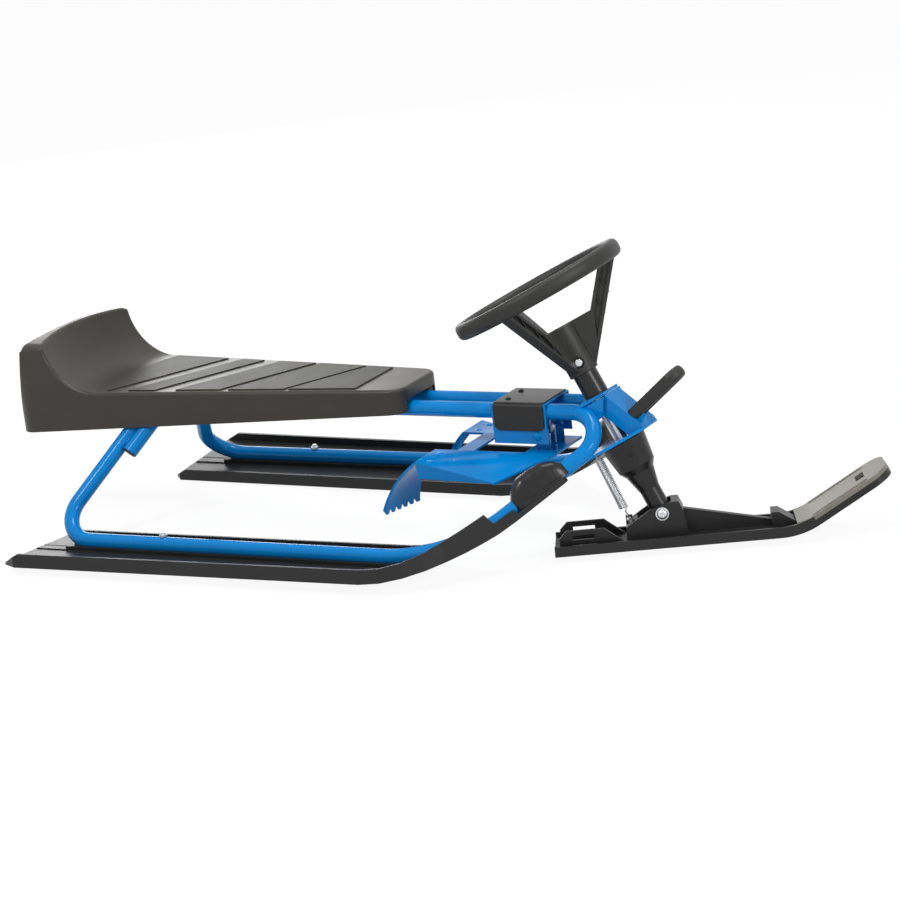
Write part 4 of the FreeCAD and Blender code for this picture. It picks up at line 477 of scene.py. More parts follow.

# %% [markdown]
# The brake's return spring sits on the pivot inside the bracket. One leg presses up on the bracket,
# the other rests on the plate, and the coil winds up as the plate rocks. It is drawn in one place
# here and is not put on any body.

# %% Brake return spring
PIVOT = (166, 0, 149)
pivot_place = level_place(*PIVOT) @ Matrix.Rotation(math.pi / 2, 4, "X")
RETURN_WIRE, RETURN_COIL, RETURN_QUARTERS, RETURN_RISE = 2.0, 5.3, 16, 0.8
RETURN_FOOT, RETURN_HEAD, RETURN_STILL, RETURN_MOVED = -20.8, 41.8, 18, -14
side_start = -RETURN_RISE * RETURN_QUARTERS / 2
coil = coil_stations(RETURN_COIL, RETURN_QUARTERS, side_start, RETURN_RISE)
straight = (0, 1, 0)
coil[0], coil[-1] = (coil[0][0], straight), (coil[-1][0], straight)
stations = [((RETURN_COIL, RETURN_FOOT, side_start), straight)] + coil
stations += [((RETURN_COIL, RETURN_HEAD, -side_start), straight)]
return_points = wire_run(stations, pivot_place)
return_mesh = wire_mesh("return_spring_wire", return_points, RETURN_WIRE / 2)
piece = put("return_spring_wire", return_mesh, "zinc_steel", None, ["brake_return_spring"])
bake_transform(piece)
print("return spring of", len(return_points), "points")

# %% [markdown]
# A plain hexagon prism reads as a block, not as a nut. A real one is turned at its ends before it is
# threaded, which cuts its six corners back in curved edges, and a lock nut carries a collar. Both
# come from one ring of points whose radius follows the hexagon and whose height follows the chamfer.

# %% Nuts and bolts
CHAMFER = math.tan(math.radians(30))
# Shares of a nut's half width, and then of its height.
NUT_FACE, COLLAR_FOOT, COLLAR_WALL, COLLAR_CROWN = 0.97, 0.86, 0.84, 0.72
NUT_BODY, COLLAR_BEND = 0.72, 0.93


def nut_part(across_flats, tall, bore, place):
    """A lock nut standing on its place: six flats, turned corners, and a rounded collar on top."""
    flat, body = across_flats / 2, tall * NUT_BODY
    radii = [flat / math.cos((a + math.pi / 6) % (math.pi / 3) - math.pi / 6) for a in ROUND]
    cut = [(r - flat) * CHAMFER for r in radii]
    foot = [(bore, 0), (flat * NUT_FACE, 0)]
    collar = [(flat * NUT_FACE, body), (flat * COLLAR_FOOT, body), (flat * COLLAR_WALL, tall * COLLAR_BEND),
              (flat * COLLAR_CROWN, tall), (bore, tall)]
    rows = [[spot] * ROUND_STEPS for spot in foot]
    rows += [list(zip(radii, cut)), [(r, body - drop) for r, drop in zip(radii, cut)]]
    rows += [[spot] * ROUND_STEPS for spot in collar]
    rings = [[(r * math.cos(a), r * math.sin(a), z) for a, (r, z) in zip(ROUND, row)] for row in rows]
    return rings_part(rings, place, closed=True)


def frame_along(point, way):
    """A place at a point in metres whose own Z runs along a way."""
    return Matrix.Translation(point) @ Vector((0, 0, 1)).rotation_difference(Vector(way)).to_matrix().to_4x4()


# A nut's width across flats, its height and its bore.
RUNNER_NUT, AXLE_NUT = (10, 5, 3.0), (13, 7, 4.0)
RUN_OUT, RUN_HEIGHT, SKI_CANT = 214, 28, math.radians(4.2)
RUNNER_NUT_SEAT = Vector((-347, 0, 11))
ski_nuts = []
for side in (-1, 1):
    foot = level_place(0, side * RUN_OUT, RUN_HEIGHT) @ Matrix.Rotation(side * SKI_CANT, 4, "X")
    ski_nuts.append(nut_part(*RUNNER_NUT, foot @ Matrix.Translation(RUNNER_NUT_SEAT * MM)))
put_parts("runner_lock_nuts", ski_nuts, "zinc_steel", "frame", ["ski_nuts"])

AXLE = Vector(next(j["pos_m"] for j in frame["joints"] if j["name"] == "ski_pitch"))
WASHER_FACE = 25.1
nut_place = frame_along(AXLE + AXLE_WAY * WASHER_FACE * MM, AXLE_WAY)
put_parts("axle_lock_nut", [nut_part(*AXLE_NUT, nut_place)], "zinc_steel", "axle_set", ["axle_nut"])
HEAD_PROFILE = [(ON_AXIS, -59.2), (3.5, -59.2), (4.0, -58.7), (4.0, 0), (7.3, 0), (7.5, 0.4), (7.5, 1.2),
                (6.9, 2.6), (5.6, 4.1), (3.6, 4.9), (2.5, 5.0), (2.3, 4.7), (2.1, 3.0), (ON_AXIS, 2.8)]
head_place = frame_along(AXLE - AXLE_WAY * WASHER_FACE * MM, -AXLE_WAY)
put_parts("axle_dome_bolt", [turned_part(HEAD_PROFILE, head_place)], "zinc_steel", "axle_set",
          ["axle_bolt"])
print("nuts and axle bolt at", [round(v, 3) for v in AXLE])

# %% [markdown]
# The brake's pivot is shown as a rivet, set before the frame was sprayed, so its two low heads are
# blue like the bracket. That is a guess: the measured model has a bolt and a nut. The cover's two
# screws are black, with a round recess for the driver.

# %% Brake rivet and cover screws
BRACKET_FACE = 38.3
RIVET_HEAD = [(6.0, 0), (6.0, 0.7), (5.4, 1.8), (3.8, 2.6), (1.6, 3.0), (ON_AXIS, 3.0)]
RIVET_ROD = [(ON_AXIS, -2 * BRACKET_FACE), (4.0, -2 * BRACKET_FACE), (4.0, 0)]
rivet = []
for side, start in ((-1, RIVET_ROD), (1, [(ON_AXIS, 0)])):
    end = level_place(*PIVOT) @ Matrix.Translation((0, side * BRACKET_FACE * MM, 0))
    rivet.append(turned_part(start + RIVET_HEAD, end @ Matrix.Rotation(-side * math.pi / 2, 4, "X")))
put_parts("brake_rivet", rivet, "blue_paint", "frame", ["brake_pivot_bolt", "brake_pivot_nut"])
SCREW_PROFILE = [(ON_AXIS, -4.2), (2.0, -4.2), (2.0, 0), (3.9, 0), (4.0, 0.4), (3.7, 1.5), (2.7, 2.3),
                 (1.9, 2.4), (1.7, 2.1), (1.5, 0.8), (ON_AXIS, 0.6)]
SCREW_X, SCREW_OUT, SCREW_SEAT = 118, 20, 196
screws = [turned_part(SCREW_PROFILE, level_place(SCREW_X, side * SCREW_OUT, SCREW_SEAT)) for side in (-1, 1)]
put_parts("cover_socket_screws", screws, "black_steel", "frame", ["cover_screws"])
print("rivet and", len(screws), "screws")

# %% [markdown]
# The open tube ends under the seat are closed with pushed-in plastic plugs: two on top of the risers
# and two at the feet of the braces that are welded beside them.

# %% Tube plugs
PLUG_PROFILE = [(ON_AXIS, -7), (8.8, -7), (9.3, -6.4), (9.4, 0), (10.4, 0.05), (10.7, 0.5), (10.3, 1.4),
                (8.2, 2.3), (4.5, 2.8), (ON_AXIS, 3.0)]
RISER_TOP, BRACE_FOOT = (-439.66, 52.9, 193), (-453.94, 114.5, 129.91)
RISER_WAY = Vector((78, -124, 127)).normalized()
plugs = []
for side in (-1, 1):
    way = STAND.to_3x3() @ Vector((RISER_WAY.x, side * RISER_WAY.y, RISER_WAY.z))
    for (x, y, z), heading in ((RISER_TOP, way), (BRACE_FOOT, -way)):
        plugs.append(turned_part(PLUG_PROFILE, frame_along(level_place(x, side * y, z).translation, heading)))
put_parts("tube_end_plugs", plugs, "matte_black", "frame")
print("plugs", len(plugs))

# %% [markdown]
# The frame is welded and then sprayed, so each weld shows as a blue bead with the ripple of its small
# overlapping pools. A bead is a wire whose radius swells once per pool. It runs where the parts meet:
# round the two ends of the cross tube, down both sides of each brace, and along the foot of the hood.

# %% Weld beads
POOL, POOL_EDGE, BEAD_STEP = 2.4, 0.82, 0.6
CROSS_BEAD, BRACE_BEAD, HOOD_BEAD = 1.5, 1.7, 1.3


def bead_points(corners):
    """Evenly spaced points in metres along a line of corners in metres, with the ripple at each."""
    points, swell, gone = [], [], 0.0
    for start, end in zip(corners, corners[1:]):
        steps = max(1, round((end - start).length / (BEAD_STEP * MM)))
        for step in range(steps):
            points.append(start.lerp(end, step / steps))
            swell.append(POOL_EDGE + (1 - POOL_EDGE) * abs(math.sin(math.pi * gone / POOL)))
            gone += BEAD_STEP
    return points, swell


def onto_bar(point, way, foot, axis, radius):
    """Where a line from a point along a way first meets a round bar."""
    off = point - foot
    flat_off, flat_way = off - axis * off.dot(axis), way - axis * way.dot(axis)
    a, b, c = flat_way.dot(flat_way), flat_off.dot(flat_way), flat_off.dot(flat_off) - radius ** 2
    return point + way * ((-b - math.sqrt(b * b - a * c)) / a)


TUBE_RADIUS, CROSS_RADIUS, CROSS_X, CROSS_Z, CORNER_X = 11, 9, -452.56, 172, -541
BRACE_GAP, BRACE_WELD_START, BRACE_WELD_END, BRACE_WELD_OUT = 22.4, 6, 58, 5.2
seams = []
for side in (-1, 1):
    way = Vector((RISER_WAY.x, side * RISER_WAY.y, RISER_WAY.z))
    corner = Vector((CORNER_X, side * RUN_OUT, RUN_HEIGHT))
    middle = Vector((CROSS_X, 0, CROSS_Z))
    circle = [middle + Vector((math.cos(a), 0, math.sin(a))) * CROSS_RADIUS for a in ROUND]
    seam = [onto_bar(point, Vector((0, side, 0)), corner, way, TUBE_RADIUS) for point in circle]
    seams.append((seam + seam[:1], CROSS_BEAD))
    foot = Vector((BRACE_FOOT[0], side * BRACE_FOOT[1], BRACE_FOOT[2]))
    beside = Vector((1, 0, 0))
    off = (beside - way * beside.dot(way)).normalized() * (BRACE_GAP / 2)
    out = way.cross(off).normalized() * BRACE_WELD_OUT
    for valley in (out, -out):
        start = foot - off + valley
        seams.append(([start + way * BRACE_WELD_START, start + way * BRACE_WELD_END], BRACE_BEAD))

HEAD_POINT, HEAD_LEAN = Vector((252.27, 0, 181)), math.radians(-26.4)
HOOD_START, HOOD_END, HOOD_HALF, HOOD_FOOT = 28, 47, 22, -46
head_frame = Matrix.Translation(HEAD_POINT) @ Matrix.Rotation(HEAD_LEAN, 4, "Y")
for y in (-HOOD_HALF, HOOD_HALF):
    seams.append(([head_frame @ Vector((p, y, HOOD_FOOT)) for p in (HOOD_START, HOOD_END)], HOOD_BEAD))
for number, (corners, radius) in enumerate(seams):
    points, swell = bead_points([STAND @ (corner * MM) for corner in corners])
    name = "weld_bead_%d" % number
    put(name, wire_mesh(name, points, radius, swell), "blue_paint", "frame")
print("weld beads", len(seams))

# %% [markdown]
# Each foot rest has three pressed studs near its rear edge, which keep a wet boot from sliding.
# They are low domes that follow the plate, whose outer front corner is bent down. Their number and
# places are a guess.

# %% Studs on the foot rests
STUD_PROFILE = [(5.2, -1.5), (5.2, 0), (4.4, 0.8), (2.9, 1.4), (1.2, 1.7), (ON_AXIS, 1.7)]
REST_TOP, REST_REAR, REST_LONG, REST_INNER, REST_WIDE, REST_SINK = 127, 7, 130, 41.5, 60.5, 26
STUD_SPOTS = [(24, 58), (24, 90), (56, 74)]
studs = []
for x, y in STUD_SPOTS:
    for side in (-1, 1):
        drop = REST_SINK * (x - REST_REAR) / REST_LONG * (y - REST_INNER) / REST_WIDE
        studs.append(turned_part(STUD_PROFILE, level_place(x, side * y, REST_TOP - drop)))
put_parts("foot_rest_studs", studs, "blue_paint", "brake")
print("studs", len(studs))

# %% [markdown]
# The wheel's three deep spokes are cored out on both faces, with thin cross ribs that keep the web
# stiff. The ribs stand upright in the cored pockets and end just under the spoke's faces.

# %% Ribs in the wheel's spokes
AXLE_LEVEL = Vector((323.26, 0, 38))
COLUMN_UP = Vector((math.sin(HEAD_LEAN), 0, math.cos(HEAD_LEAN)))
STEER_REST = math.radians(28)
column_turn = Matrix.Rotation(STEER_REST, 4, COLUMN_UP) @ Matrix.Rotation(HEAD_LEAN, 4, "Y")
column = STAND @ Matrix.Translation(AXLE_LEVEL * MM) @ column_turn
SPOKES = 3
# Each rib's radius and its low and high ends, and its section: depth, half thickness and nipped ends.
RIB_LINES = [(46, 249, 283), (64, 271, 304), (82, 293, 325)]
RIB_ROWS = [(2.3, 0.9, 0), (5.7, 0.72, 0.3), (6.1, 0.36, 0.8)]


def rib_part(radius, low, high, place):
    """A thin upright rib with a drafted, narrower crest."""
    rings = []
    for depth, half, nip in RIB_ROWS:
        rings.append([(radius - half, depth, low + nip), (radius - half, depth, high - nip),
                      (radius + half, depth, high - nip), (radius + half, depth, low + nip)])
    return rings_part(rings, place)


ribs = []
for step in range(SPOKES):
    arm = column @ Matrix.Rotation(math.tau / SPOKES * step, 4, "Z")
    for flip in (False, True):
        face = arm @ Matrix.Scale(-1, 4, (0, 1, 0)) if flip else arm
        ribs += [rib_part(*line, face) for line in RIB_LINES]
put_parts("spoke_ribs", ribs, "matte_black", "steering")
print("ribs", len(ribs))

# %% [markdown]
# The wheel is one moulding: a fat rounded rim, three deep spokes and a hub. Each spoke is a thin web
# with a thick border, so it is drawn as an outline and the same outline moved inward. The rim is set
# a little off square, because it lies closer to the picture so. That is a guess from one view: the
# measured rim is square.

# %% Steering wheel
HUB_BOLT, HUB_LOW, HUB_HIGH, HUB_RADIUS = 229.98, 213.98, 283.98, 21
RIM_LEVEL, RIM_RADIUS, RIM_HALF_WIDE, RIM_HALF_TALL, RIM_SQUARE = 342.98, 116, 9, 11.5, 2.6
RIM_ASKEW, RIM_ASKEW_TURN = math.radians(2.5), math.radians(1.816)
SPOKE_HALF, WEB_HALF, SPOKE_BORDER = 6.5, 2.5, 5
OVAL_STEPS, RIM_STEPS = 24, 96
SPOKE_OUTLINE = [(18, HUB_LOW), (118, 339), (92, 339), (48, HUB_HIGH)]
SPOKE_GUSSET = [(0, HUB_LOW), (18, HUB_LOW), (48, HUB_HIGH), (0, HUB_HIGH)]


def moved_inward(outline, gap):
    """A convex outline, given anticlockwise, with each side moved inward by a gap."""
    lines = []
    for (x, y), (to_x, to_y) in zip(outline, outline[1:] + outline[:1]):
        way = Vector((to_x - x, to_y - y)).normalized()
        lines.append((Vector((x, y)) + Vector((-way.y, way.x)) * gap, way))
    corners = []
    for (point, way), (next_point, next_way) in zip(lines[-1:] + lines[:-1], lines):
        reach = (next_point - point).cross(next_way) / way.cross(next_way)
        corners.append(tuple(point + way * reach))
    return corners


def slab_part(outline, half, place):
    """A plate with an outline of (radius, height), lying along the place's X and Z."""
    return rings_part([[(r, y, z) for r, z in outline] for y in (half, -half)], place)


def spoke_parts(place):
    """A bordered web, and the gusset that joins it to the hub."""
    inner = moved_inward(SPOKE_OUTLINE, SPOKE_BORDER)
    rows = [(inner, WEB_HALF), (inner, SPOKE_HALF), (SPOKE_OUTLINE, SPOKE_HALF),
            (SPOKE_OUTLINE, -SPOKE_HALF), (inner, -SPOKE_HALF), (inner, -WEB_HALF)]
    web = rings_part([[(r, y, z) for r, z in outline] for outline, y in rows], place)
    return [web, slab_part(SPOKE_GUSSET, SPOKE_HALF, place)]


def oval_ring(centre, first, second, half_first, half_second, square):
    """Points of a rounded oblong about a centre. A higher square makes its sides flatter."""
    ring = []
    for step in range(OVAL_STEPS):
        c, s = math.cos(math.tau * step / OVAL_STEPS), math.sin(math.tau * step / OVAL_STEPS)
        ring.append(centre + first * math.copysign(abs(c) ** (2 / square), c) * half_first
                    + second * math.copysign(abs(s) ** (2 / square), s) * half_second)
    return ring


rim_lift = Matrix.Translation((0, 0, RIM_LEVEL * MM))
askew_about = Vector((math.cos(RIM_ASKEW_TURN), math.sin(RIM_ASKEW_TURN), 0))
rim_place = column @ rim_lift @ Matrix.Rotation(RIM_ASKEW, 4, askew_about) @ rim_lift.inverted()
rim_rings = []
for step in range(RIM_STEPS):
    out = Vector((math.cos(math.tau * step / RIM_STEPS), math.sin(math.tau * step / RIM_STEPS), 0))
    middle = out * RIM_RADIUS + Vector((0, 0, RIM_LEVEL))
    rim_rings.append(oval_ring(middle, out, Vector((0, 0, 1)), RIM_HALF_WIDE, RIM_HALF_TALL, RIM_SQUARE))
wheel_parts = [rings_part(rim_rings, rim_place, closed=True)]
for step in range(SPOKES):
    wheel_parts += spoke_parts(column @ Matrix.Rotation(math.tau / SPOKES * step, 4, "Z"))
RECESS_RADIUS, RECESS_FLOOR, RECESS_END = 8, 16.5, 30
RECESS_PROFILE = [(ON_AXIS, RECESS_FLOOR), (RECESS_RADIUS, RECESS_FLOOR), (RECESS_RADIUS, RECESS_END),
                  (ON_AXIS, RECESS_END)]
HUB_PROFILE = [(ON_AXIS, HUB_LOW), (20, HUB_LOW), (HUB_RADIUS, HUB_LOW + 1), (HUB_RADIUS, HUB_HIGH - 2),
               (19, HUB_HIGH), (ON_AXIS, HUB_HIGH)]
hub_holder = holder_of("hub_holder", [turned_part(HUB_PROFILE, column)])
bolt_place = column @ Matrix.Translation((0, 0, HUB_BOLT * MM))
sink = [turned_part(RECESS_PROFILE, bolt_place @ Matrix.Rotation(way * math.pi / 2, 4, "X"))
        for way in (-1, 1)]
sink_holder = holder_of("sink_holder", sink)
cut = hub_holder.modifiers.new("bolt recesses", "BOOLEAN")
cut.object = sink_holder
hub_mesh = shaped_mesh(hub_holder)
wheel_parts.append(([v.co.copy() for v in hub_mesh.vertices], [list(p.vertices) for p in hub_mesh.polygons]))
for holder in (hub_holder, sink_holder):
    bpy.data.objects.remove(holder)
put_parts("wheel_moulding", wheel_parts, "matte_black", "steering", ["steering_wheel"])
print("wheel of", len(wheel_parts), "parts")

# %% [markdown]
# The tow loop is a moulded stirrup with a rounded section, so that a rope doesn't chafe on it. Its
# two legs stand in the sloping front of the head, and its bow is half a circle.

# %% Tow loop
LOOP_LEGS, LOOP_BOW_RISE, LOOP_ROOT, LOOP_HALF_THICK, LOOP_HALF_WIDE = 14, 73, 14, 6, 8.6
LOOP_BASE, LOOP_LEAN, LOOP_SQUARE, BOW_STEPS = Vector((41.5, 0, -25.7)), math.radians(49), 2.4, 24
loop_place = STAND @ Matrix.Translation((head_frame @ LOOP_BASE) * MM) @ Matrix.Rotation(LOOP_LEAN, 4, "Y")
bow = [(-LOOP_LEGS, -LOOP_ROOT, math.pi), (-LOOP_LEGS, LOOP_BOW_RISE / 2, math.pi)]
for step in range(BOW_STEPS + 1):
    a = math.pi * (1 - step / BOW_STEPS)
    bow.append((LOOP_LEGS * math.cos(a), LOOP_BOW_RISE + LOOP_LEGS * math.sin(a), a))
bow += [(LOOP_LEGS, LOOP_BOW_RISE / 2, 0), (LOOP_LEGS, -LOOP_ROOT, 0)]
loop_rings = [oval_ring(Vector((0, y, z)), Vector((0, math.cos(a), math.sin(a))), Vector((1, 0, 0)),
                        LOOP_HALF_THICK, LOOP_HALF_WIDE, LOOP_SQUARE) for y, z, a in bow]
loop_part = rings_part(loop_rings, loop_place)
put_parts("rounded_tow_loop", [loop_part], "matte_black", "frame", ["tow_loop"])
print("loop of", len(loop_rings), "rings")

# %% [markdown]
# Two cheeks of sheet stand at the head's sides, between its top plate and the tubes, and hide part of
# the shaft. Their outline comes from the picture, and how far apart they stand is a guess.

# %% Cheeks of the head
CHEEK_OUTLINE = [(-25, 5), (-11, -11), (7, -9), (23, 15), (-25, 13)]
CHEEK_OUT, CHEEK_SHEET = 27, 2.5
on_head = STAND @ Matrix.Scale(MM, 4) @ head_frame @ Matrix.Scale(1 / MM, 4)
cheeks = []
for side in (-1, 1):
    sheet = [side * CHEEK_OUT + off for off in (CHEEK_SHEET / 2, -CHEEK_SHEET / 2)]
    cheeks.append(rings_part([[(p, y, n) for p, n in CHEEK_OUTLINE] for y in sheet], on_head))
put_parts("head_cheeks", cheeks, "blue_paint", "frame")
print("cheeks", len(cheeks))

# %% [markdown]
# The brake's cover is a moulded channel over the bracket. Moulded corners are never sharp: its
# shoulders are rounded along its length, and the lower corners of its two sides are rounded too.

# %% Brake cover
COVER_BACK, COVER_FRONT, COVER_LOW, COVER_ROOF = 103, 179, 157, 196
COVER_HALF, COVER_WALL, COVER_SHOULDER, COVER_CORNER = 40.6, 2, 7, 9
COVER_ROWS, COVER_EDGE, SHOULDER_STEPS = (0, 0.5, 1.5, 3, 5, 7, COVER_CORNER), 0.5, 8


def cover_arch(half, roof, radius, low, trim):
    """One side of the channel's section, from its left foot over the roof to its right foot."""
    half, roof, low = half - trim, roof - trim, low + abs(trim)
    turns = [math.pi / 2 * step / SHOULDER_STEPS for step in range(SHOULDER_STEPS + 1)]
    left = [(-half + radius * (1 - math.cos(a)), roof - radius * (1 - math.sin(a))) for a in turns]
    return [(-half, low)] + left + [(-y, z) for y, z in reversed(left)] + [(half, low)]


cover_rings = []
for start, way in ((COVER_BACK, 1), (COVER_FRONT, -1)):
    rows = []
    for gone in COVER_ROWS:
        rise = COVER_CORNER - math.sqrt(COVER_CORNER ** 2 - (COVER_CORNER - gone) ** 2)
        trim = 0 if gone else COVER_EDGE
        outside = cover_arch(COVER_HALF, COVER_ROOF, COVER_SHOULDER, COVER_LOW + rise, trim)
        inside = cover_arch(COVER_HALF - COVER_WALL, COVER_ROOF - COVER_WALL, COVER_SHOULDER - COVER_WALL,
                            COVER_LOW + rise, -trim)
        rows.append([(start + way * gone, y, z) for y, z in outside + inside[::-1]])
    cover_rings += rows if way > 0 else rows[::-1]
put_parts("rounded_brake_cover", [rings_part(cover_rings, STAND)], "gloss_black", "frame",
          ["brake_cover"])
print("cover of", len(cover_rings), "rings")

# %% [markdown]
# A clip holds each tube down in the toe of its runner. It is a glossy rounded hood with a flange round
# its foot and three faint ribs across its back. Its height follows a few measured stations, smoothed.

# %% Toe clips
CLIP_STATIONS = [(0, 0.30), (0.05, 0.62), (0.12, 0.82), (0.265, 1), (0.445, 1), (0.723, 0.9), (0.94, 0.6),
                 (1, 0.25)]
CLIP_BACK, CLIP_LENGTH, CLIP_RISE, CLIP_HALF, CLIP_FOOT = 114, 83, 31, 19.5, -5.9
CLIP_CORNER = Vector((106, -214, 28))
CLIP_WAYS = Matrix(((0.64086, 0.59666, 0.48301), (-0.55968, 0.79380, -0.23799),
                    (-0.52541, -0.11782, 0.84265)))
CLIP_RINGS, CLIP_SMOOTHING = 40, (-0.05, -0.025, 0, 0.025, 0.05)
RIB_PLACES, RIB_WIDE, RIB_SWELL = (0.3, 0.5, 0.7), 0.05, 0.012
# The clip narrows by a share at its two ends. Heights of its section are shares of the clip's height.
END_NIP, END_POWER = 0.3, 5
FLANGE_WIDE, FLANGE_TOP, ARCH_FOOT = 1.6, 0.12, 0.15
ARCH_STEPS, ARCH_SIDE_POWER, ARCH_ROOF_POWER = 24, 0.6, 0.7


def clip_height(share):
    """The clip's height at a share of its length, on straight lines between the measured stations."""
    for (start, low), (end, high) in zip(CLIP_STATIONS, CLIP_STATIONS[1:]):
        if share <= end:
            return (low + (high - low) * (share - start) / (end - start)) * CLIP_RISE
    return CLIP_STATIONS[-1][1] * CLIP_RISE


def clip_section(half):
    """A section of the clip: flange, arch and flange, as places across and shares of the height."""
    wall = half - FLANGE_WIDE
    section = [(half, 0), (half, FLANGE_TOP), (wall, ARCH_FOOT)]
    for step in range(1, ARCH_STEPS):
        c, s = math.cos(math.pi * step / ARCH_STEPS), math.sin(math.pi * step / ARCH_STEPS)
        section.append((wall * math.copysign(abs(c) ** ARCH_SIDE_POWER, c),
                        ARCH_FOOT + (1 - ARCH_FOOT) * s ** ARCH_ROOF_POWER))
    return section + [(-wall, ARCH_FOOT), (-half, FLANGE_TOP), (-half, 0)]


def clip_part(side):
    """The clip of one side, as sections along its length."""
    mirror = Matrix.Scale(-1, 4, (0, 1, 0)) if side > 0 else Matrix()
    place = STAND @ mirror @ Matrix.Translation(CLIP_CORNER * MM) @ CLIP_WAYS.transposed().to_4x4()
    rings = []
    for step in range(CLIP_RINGS + 1):
        share = step / CLIP_RINGS
        near = [clip_height(min(1, max(0, share + off))) for off in CLIP_SMOOTHING]
        rib = max(math.exp(-((share - spot) / RIB_WIDE) ** 2) for spot in RIB_PLACES)
        swell = 1 - RIB_SWELL + RIB_SWELL * rib
        tall = sum(near) / len(near) * swell - CLIP_FOOT
        half = CLIP_HALF * (1 - END_NIP * abs(2 * share - 1) ** END_POWER) * swell
        x = CLIP_BACK + share * CLIP_LENGTH
        rings.append([(x, y, CLIP_FOOT + up_share * tall) for y, up_share in clip_section(half)])
    return rings_part(rings, place)


for side, label in ((-1, "right"), (1, "left")):
    put_parts("rounded_clip_" + label, [clip_part(side)], "gloss_black", "frame", ["ski_clip_" + label])
print("clips of", CLIP_RINGS + 1, "rings")

# %% [markdown]
# The nose of the front ski is a smooth tread that stands between two low lips, with a slot for the tow
# rope. Its colour is painted paler than the rest of the ski: a painted sheen that stands for the bright
# surround reflecting on its top. It is a sheet along the bent board, with thickness from a modifier,
# and fine moulded lines near its two edges.

# %% Nose of the front ski
SKI_ROCK, SKI_PITCH = math.radians(6.5), math.radians(-2.3)
ski_turn = (Matrix.Rotation(STEER_REST, 4, COLUMN_UP) @ Matrix.Rotation(SKI_ROCK, 4, "X")
            @ Matrix.Rotation(SKI_PITCH, 4, "Y"))
ski_frame = STAND @ Matrix.Translation(AXLE_LEVEL * MM) @ ski_turn
NOSE_START, NOSE_CENTRE, NOSE_ARC, NOSE_ANGLE, NOSE_RUN = 155, 68, 110, math.radians(29.7), 115
BOARD_TOP, TREAD_TOP, TREAD_REAR, REAR_HALF, TREAD_HALF, TIP_ROUND = 9, 14.6, -26, 43.8, 50.3, 30
SLOT_START, SLOT_END, SLOT_HALF = NOSE_RUN - 46, NOSE_RUN - 33, 16
BEND_LONG = (NOSE_ARC - TREAD_TOP) * NOSE_ANGLE


def nose_point(gone, y, over):
    """A point of the nose: so far along it from the end of its bend, across, and over the sole."""
    radius = NOSE_ARC - over
    angle = NOSE_ANGLE * (1 + min(gone, 0) / BEND_LONG)
    ahead = max(gone, 0)
    return (NOSE_START + radius * math.sin(angle) + ahead * math.cos(NOSE_ANGLE), y,
            NOSE_CENTRE - radius * math.cos(angle) + ahead * math.sin(NOSE_ANGLE))


def tread_half(gone):
    """Half the tread's width, which widens over the lips in the bend and follows the rounded tip."""
    grown = min(1, (gone - TREAD_REAR) / -TREAD_REAR)
    half = REAR_HALF + (TREAD_HALF - REAR_HALF) * grown * grown * (3 - 2 * grown)
    short = max(0, TIP_ROUND - (NOSE_RUN - gone))
    return half - TIP_ROUND + math.sqrt(TIP_ROUND ** 2 - short ** 2)


# Pale colours that stand for the bright surround's reflection on the nose: a painted sheen.
painted_sheen_plastic = moulded("painted_sheen_polyethylene", "#66635A", "#7C796E", 0.36, 1.2, 0.08, (0.08, 1, 1))
# Rows are millimetres along the nose, closest at its rounded tip. Columns are shares of its half width.
TREAD_ROWS = [*range(TREAD_REAR, SLOT_START, 5), SLOT_START, SLOT_END, *range(84, 106, 3),
              108, 110, 111.5, 113, 114, 114.7]
SLOT_SHARE = SLOT_HALF / TREAD_HALF
TREAD_SPOTS = [-1, -0.85, -0.7, -0.55, -SLOT_SHARE, -SLOT_SHARE / 2, 0, SLOT_SHARE / 2, SLOT_SHARE,
               0.55, 0.7, 0.85, 1]
SLOT_COLUMNS = range(4, 8)
corners = [ski_frame @ (Vector(nose_point(row, spot * tread_half(row), TREAD_TOP)) * MM)
           for row in TREAD_ROWS for spot in TREAD_SPOTS]
faces, count = [], len(TREAD_SPOTS)
for i, row in enumerate(TREAD_ROWS[:-1]):
    for j in range(count - 1):
        if row != SLOT_START or j not in SLOT_COLUMNS:
            faces.append([i * count + j, (i + 1) * count + j, (i + 1) * count + j + 1, i * count + j + 1])
tread = holder_of("tread_holder", [(corners, faces)])
deep = tread.modifiers.new("tread thickness", "SOLIDIFY")
deep.thickness = (TREAD_TOP - BOARD_TOP) * MM
deep.offset = -1
tread_mesh = shaped_mesh(tread)
bpy.data.objects.remove(tread)
piece = put("nose_tread", tread_mesh, "ski_plastic", "front_ski")
# The tread takes the pale plastic with the painted sheen.
piece.data.materials[0] = painted_sheen_plastic
NOSE_LINES = (-46, -42, -38, 38, 42, 46)
LINE_STEPS, LINE_START, LINE_END, LINE_RADIUS, LINE_TIP, LINE_GROW = 30, -4, NOSE_RUN - 30, 0.6, 0.3, 0.35
for number, y in enumerate(NOSE_LINES):
    path = [LINE_START + (LINE_END - LINE_START) * i / LINE_STEPS for i in range(LINE_STEPS + 1)]
    points = [ski_frame @ (Vector(nose_point(gone, y, TREAD_TOP)) * MM) for gone in path]
    swell = [min(1, LINE_TIP + LINE_GROW * min(i, LINE_STEPS - i)) for i in range(LINE_STEPS + 1)]
    name = "nose_line_%d" % number
    line = put(name, wire_mesh(name, points, LINE_RADIUS, swell), "ski_plastic", "front_ski")
    # The lines take the same pale plastic with the painted sheen.
    line.data.materials[0] = painted_sheen_plastic
print("nose tread of", len(faces), "faces,", len(NOSE_LINES), "lines")

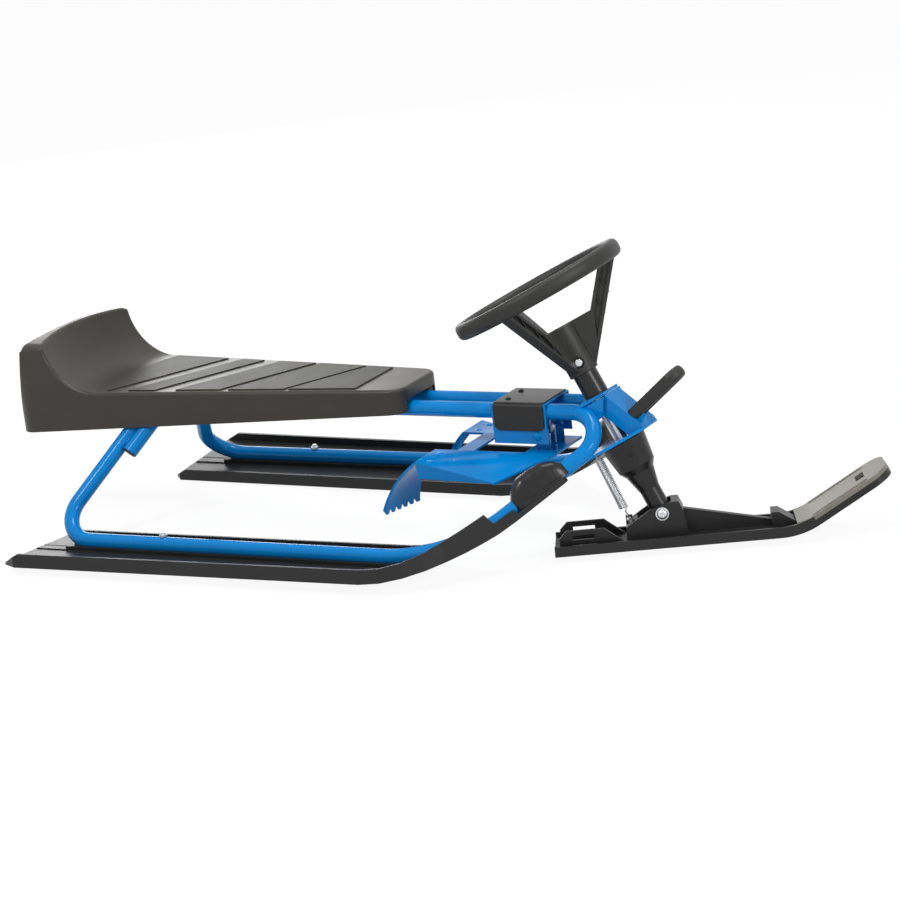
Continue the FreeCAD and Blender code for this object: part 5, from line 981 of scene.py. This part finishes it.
# %% [markdown]
# A plain studio: a pale floor, a white surround and four soft lamps. The floor and the
# surround look white to the camera and in reflections, and light the object only gently, so the
# colours come out about as they are written. The floor keeps a trace of the shadow.

# %% Floor, surround and lamps
FLOOR_WIDE, FLOOR_DROP, FLOOR_GLOW, FLOOR_GLOW_SHARE = 40, 0.5 * MM, 1.05, 0.88
SURROUND_LIGHT, SURROUND_SEEN = 0.4, 1.0


def looked_at(tree):
    """One for a ray from the camera or from a glossy surface, and nothing for other light."""
    ray = add_node(tree, "ShaderNodeLightPath")
    either = {0: ray.outputs["Is Camera Ray"], 1: ray.outputs["Is Glossy Ray"]}
    return add_node(tree, "ShaderNodeMath", either, operation="MAXIMUM").outputs["Value"]


floor_mesh = bpy.data.meshes.new("floor")
half = FLOOR_WIDE / 2
floor_mesh.from_pydata([(-half, -half, -FLOOR_DROP), (half, -half, -FLOOR_DROP), (half, half, -FLOOR_DROP),
                        (-half, half, -FLOOR_DROP)], [], [(0, 1, 2, 3)])
floor = bpy.data.objects.new("floor", floor_mesh)
scene.collection.objects.link(floor)

paper, tree, shader, coords = start_material("pale_studio_floor")
tone = two_tones(tree, noise(tree, coords, 400, 2.0), linear("#EDEDED"), linear("#F1F1F1"))
set_sockets(tree, shader, {"Base Color": tone, "Roughness": 0.9})
glow = add_node(tree, "ShaderNodeEmission", {"Color": (1, 1, 1, 1), "Strength": FLOOR_GLOW})
share = add_node(tree, "ShaderNodeMath", {0: looked_at(tree), 1: FLOOR_GLOW_SHARE}, operation="MULTIPLY")
blend = add_node(tree, "ShaderNodeMixShader", {"Fac": share.outputs["Value"], 1: shader.outputs["BSDF"],
                                               2: glow.outputs["Emission"]})
tree.links.new(blend.outputs["Shader"], tree.nodes["Material Output"].inputs["Surface"])
floor_mesh.materials.append(paper)

world = bpy.data.worlds.new("white_surround")
scene.world = world
world.use_nodes = True
tree = world.node_tree
strength = add_node(tree, "ShaderNodeMapRange", {"Value": looked_at(tree), "To Min": SURROUND_LIGHT,
                                                 "To Max": SURROUND_SEEN})
set_sockets(tree, tree.nodes["Background"], {"Color": (1, 1, 1, 1), "Strength": strength.outputs["Result"]})

# Each lamp's place and width in metres, and its watts.
LAMPS = [
    ("key_lamp", (-0.6, -2.4, 2.6), 0.7, 42),
    ("top_lamp", (0.2, 0.4, 3.2), 1.2, 42),
    ("low_back_lamp", (-2.3, 2.6, 0.7), 1.2, 14),
    ("front_lamp", (2.8, -0.8, 1.6), 0.7, 30),
]
for name, place, wide, watts in LAMPS:
    lamp = bpy.data.lights.new(name, "AREA")
    lamp.shape = "DISK"
    lamp.size = wide
    lamp.energy = watts
    item = bpy.data.objects.new(name, lamp)
    item.location = place
    item.rotation_euler = (LOOK_AT - Vector(place)).to_track_quat("-Z", "Y").to_euler()
    scene.collection.objects.link(item)
print("lamps", len(LAMPS))
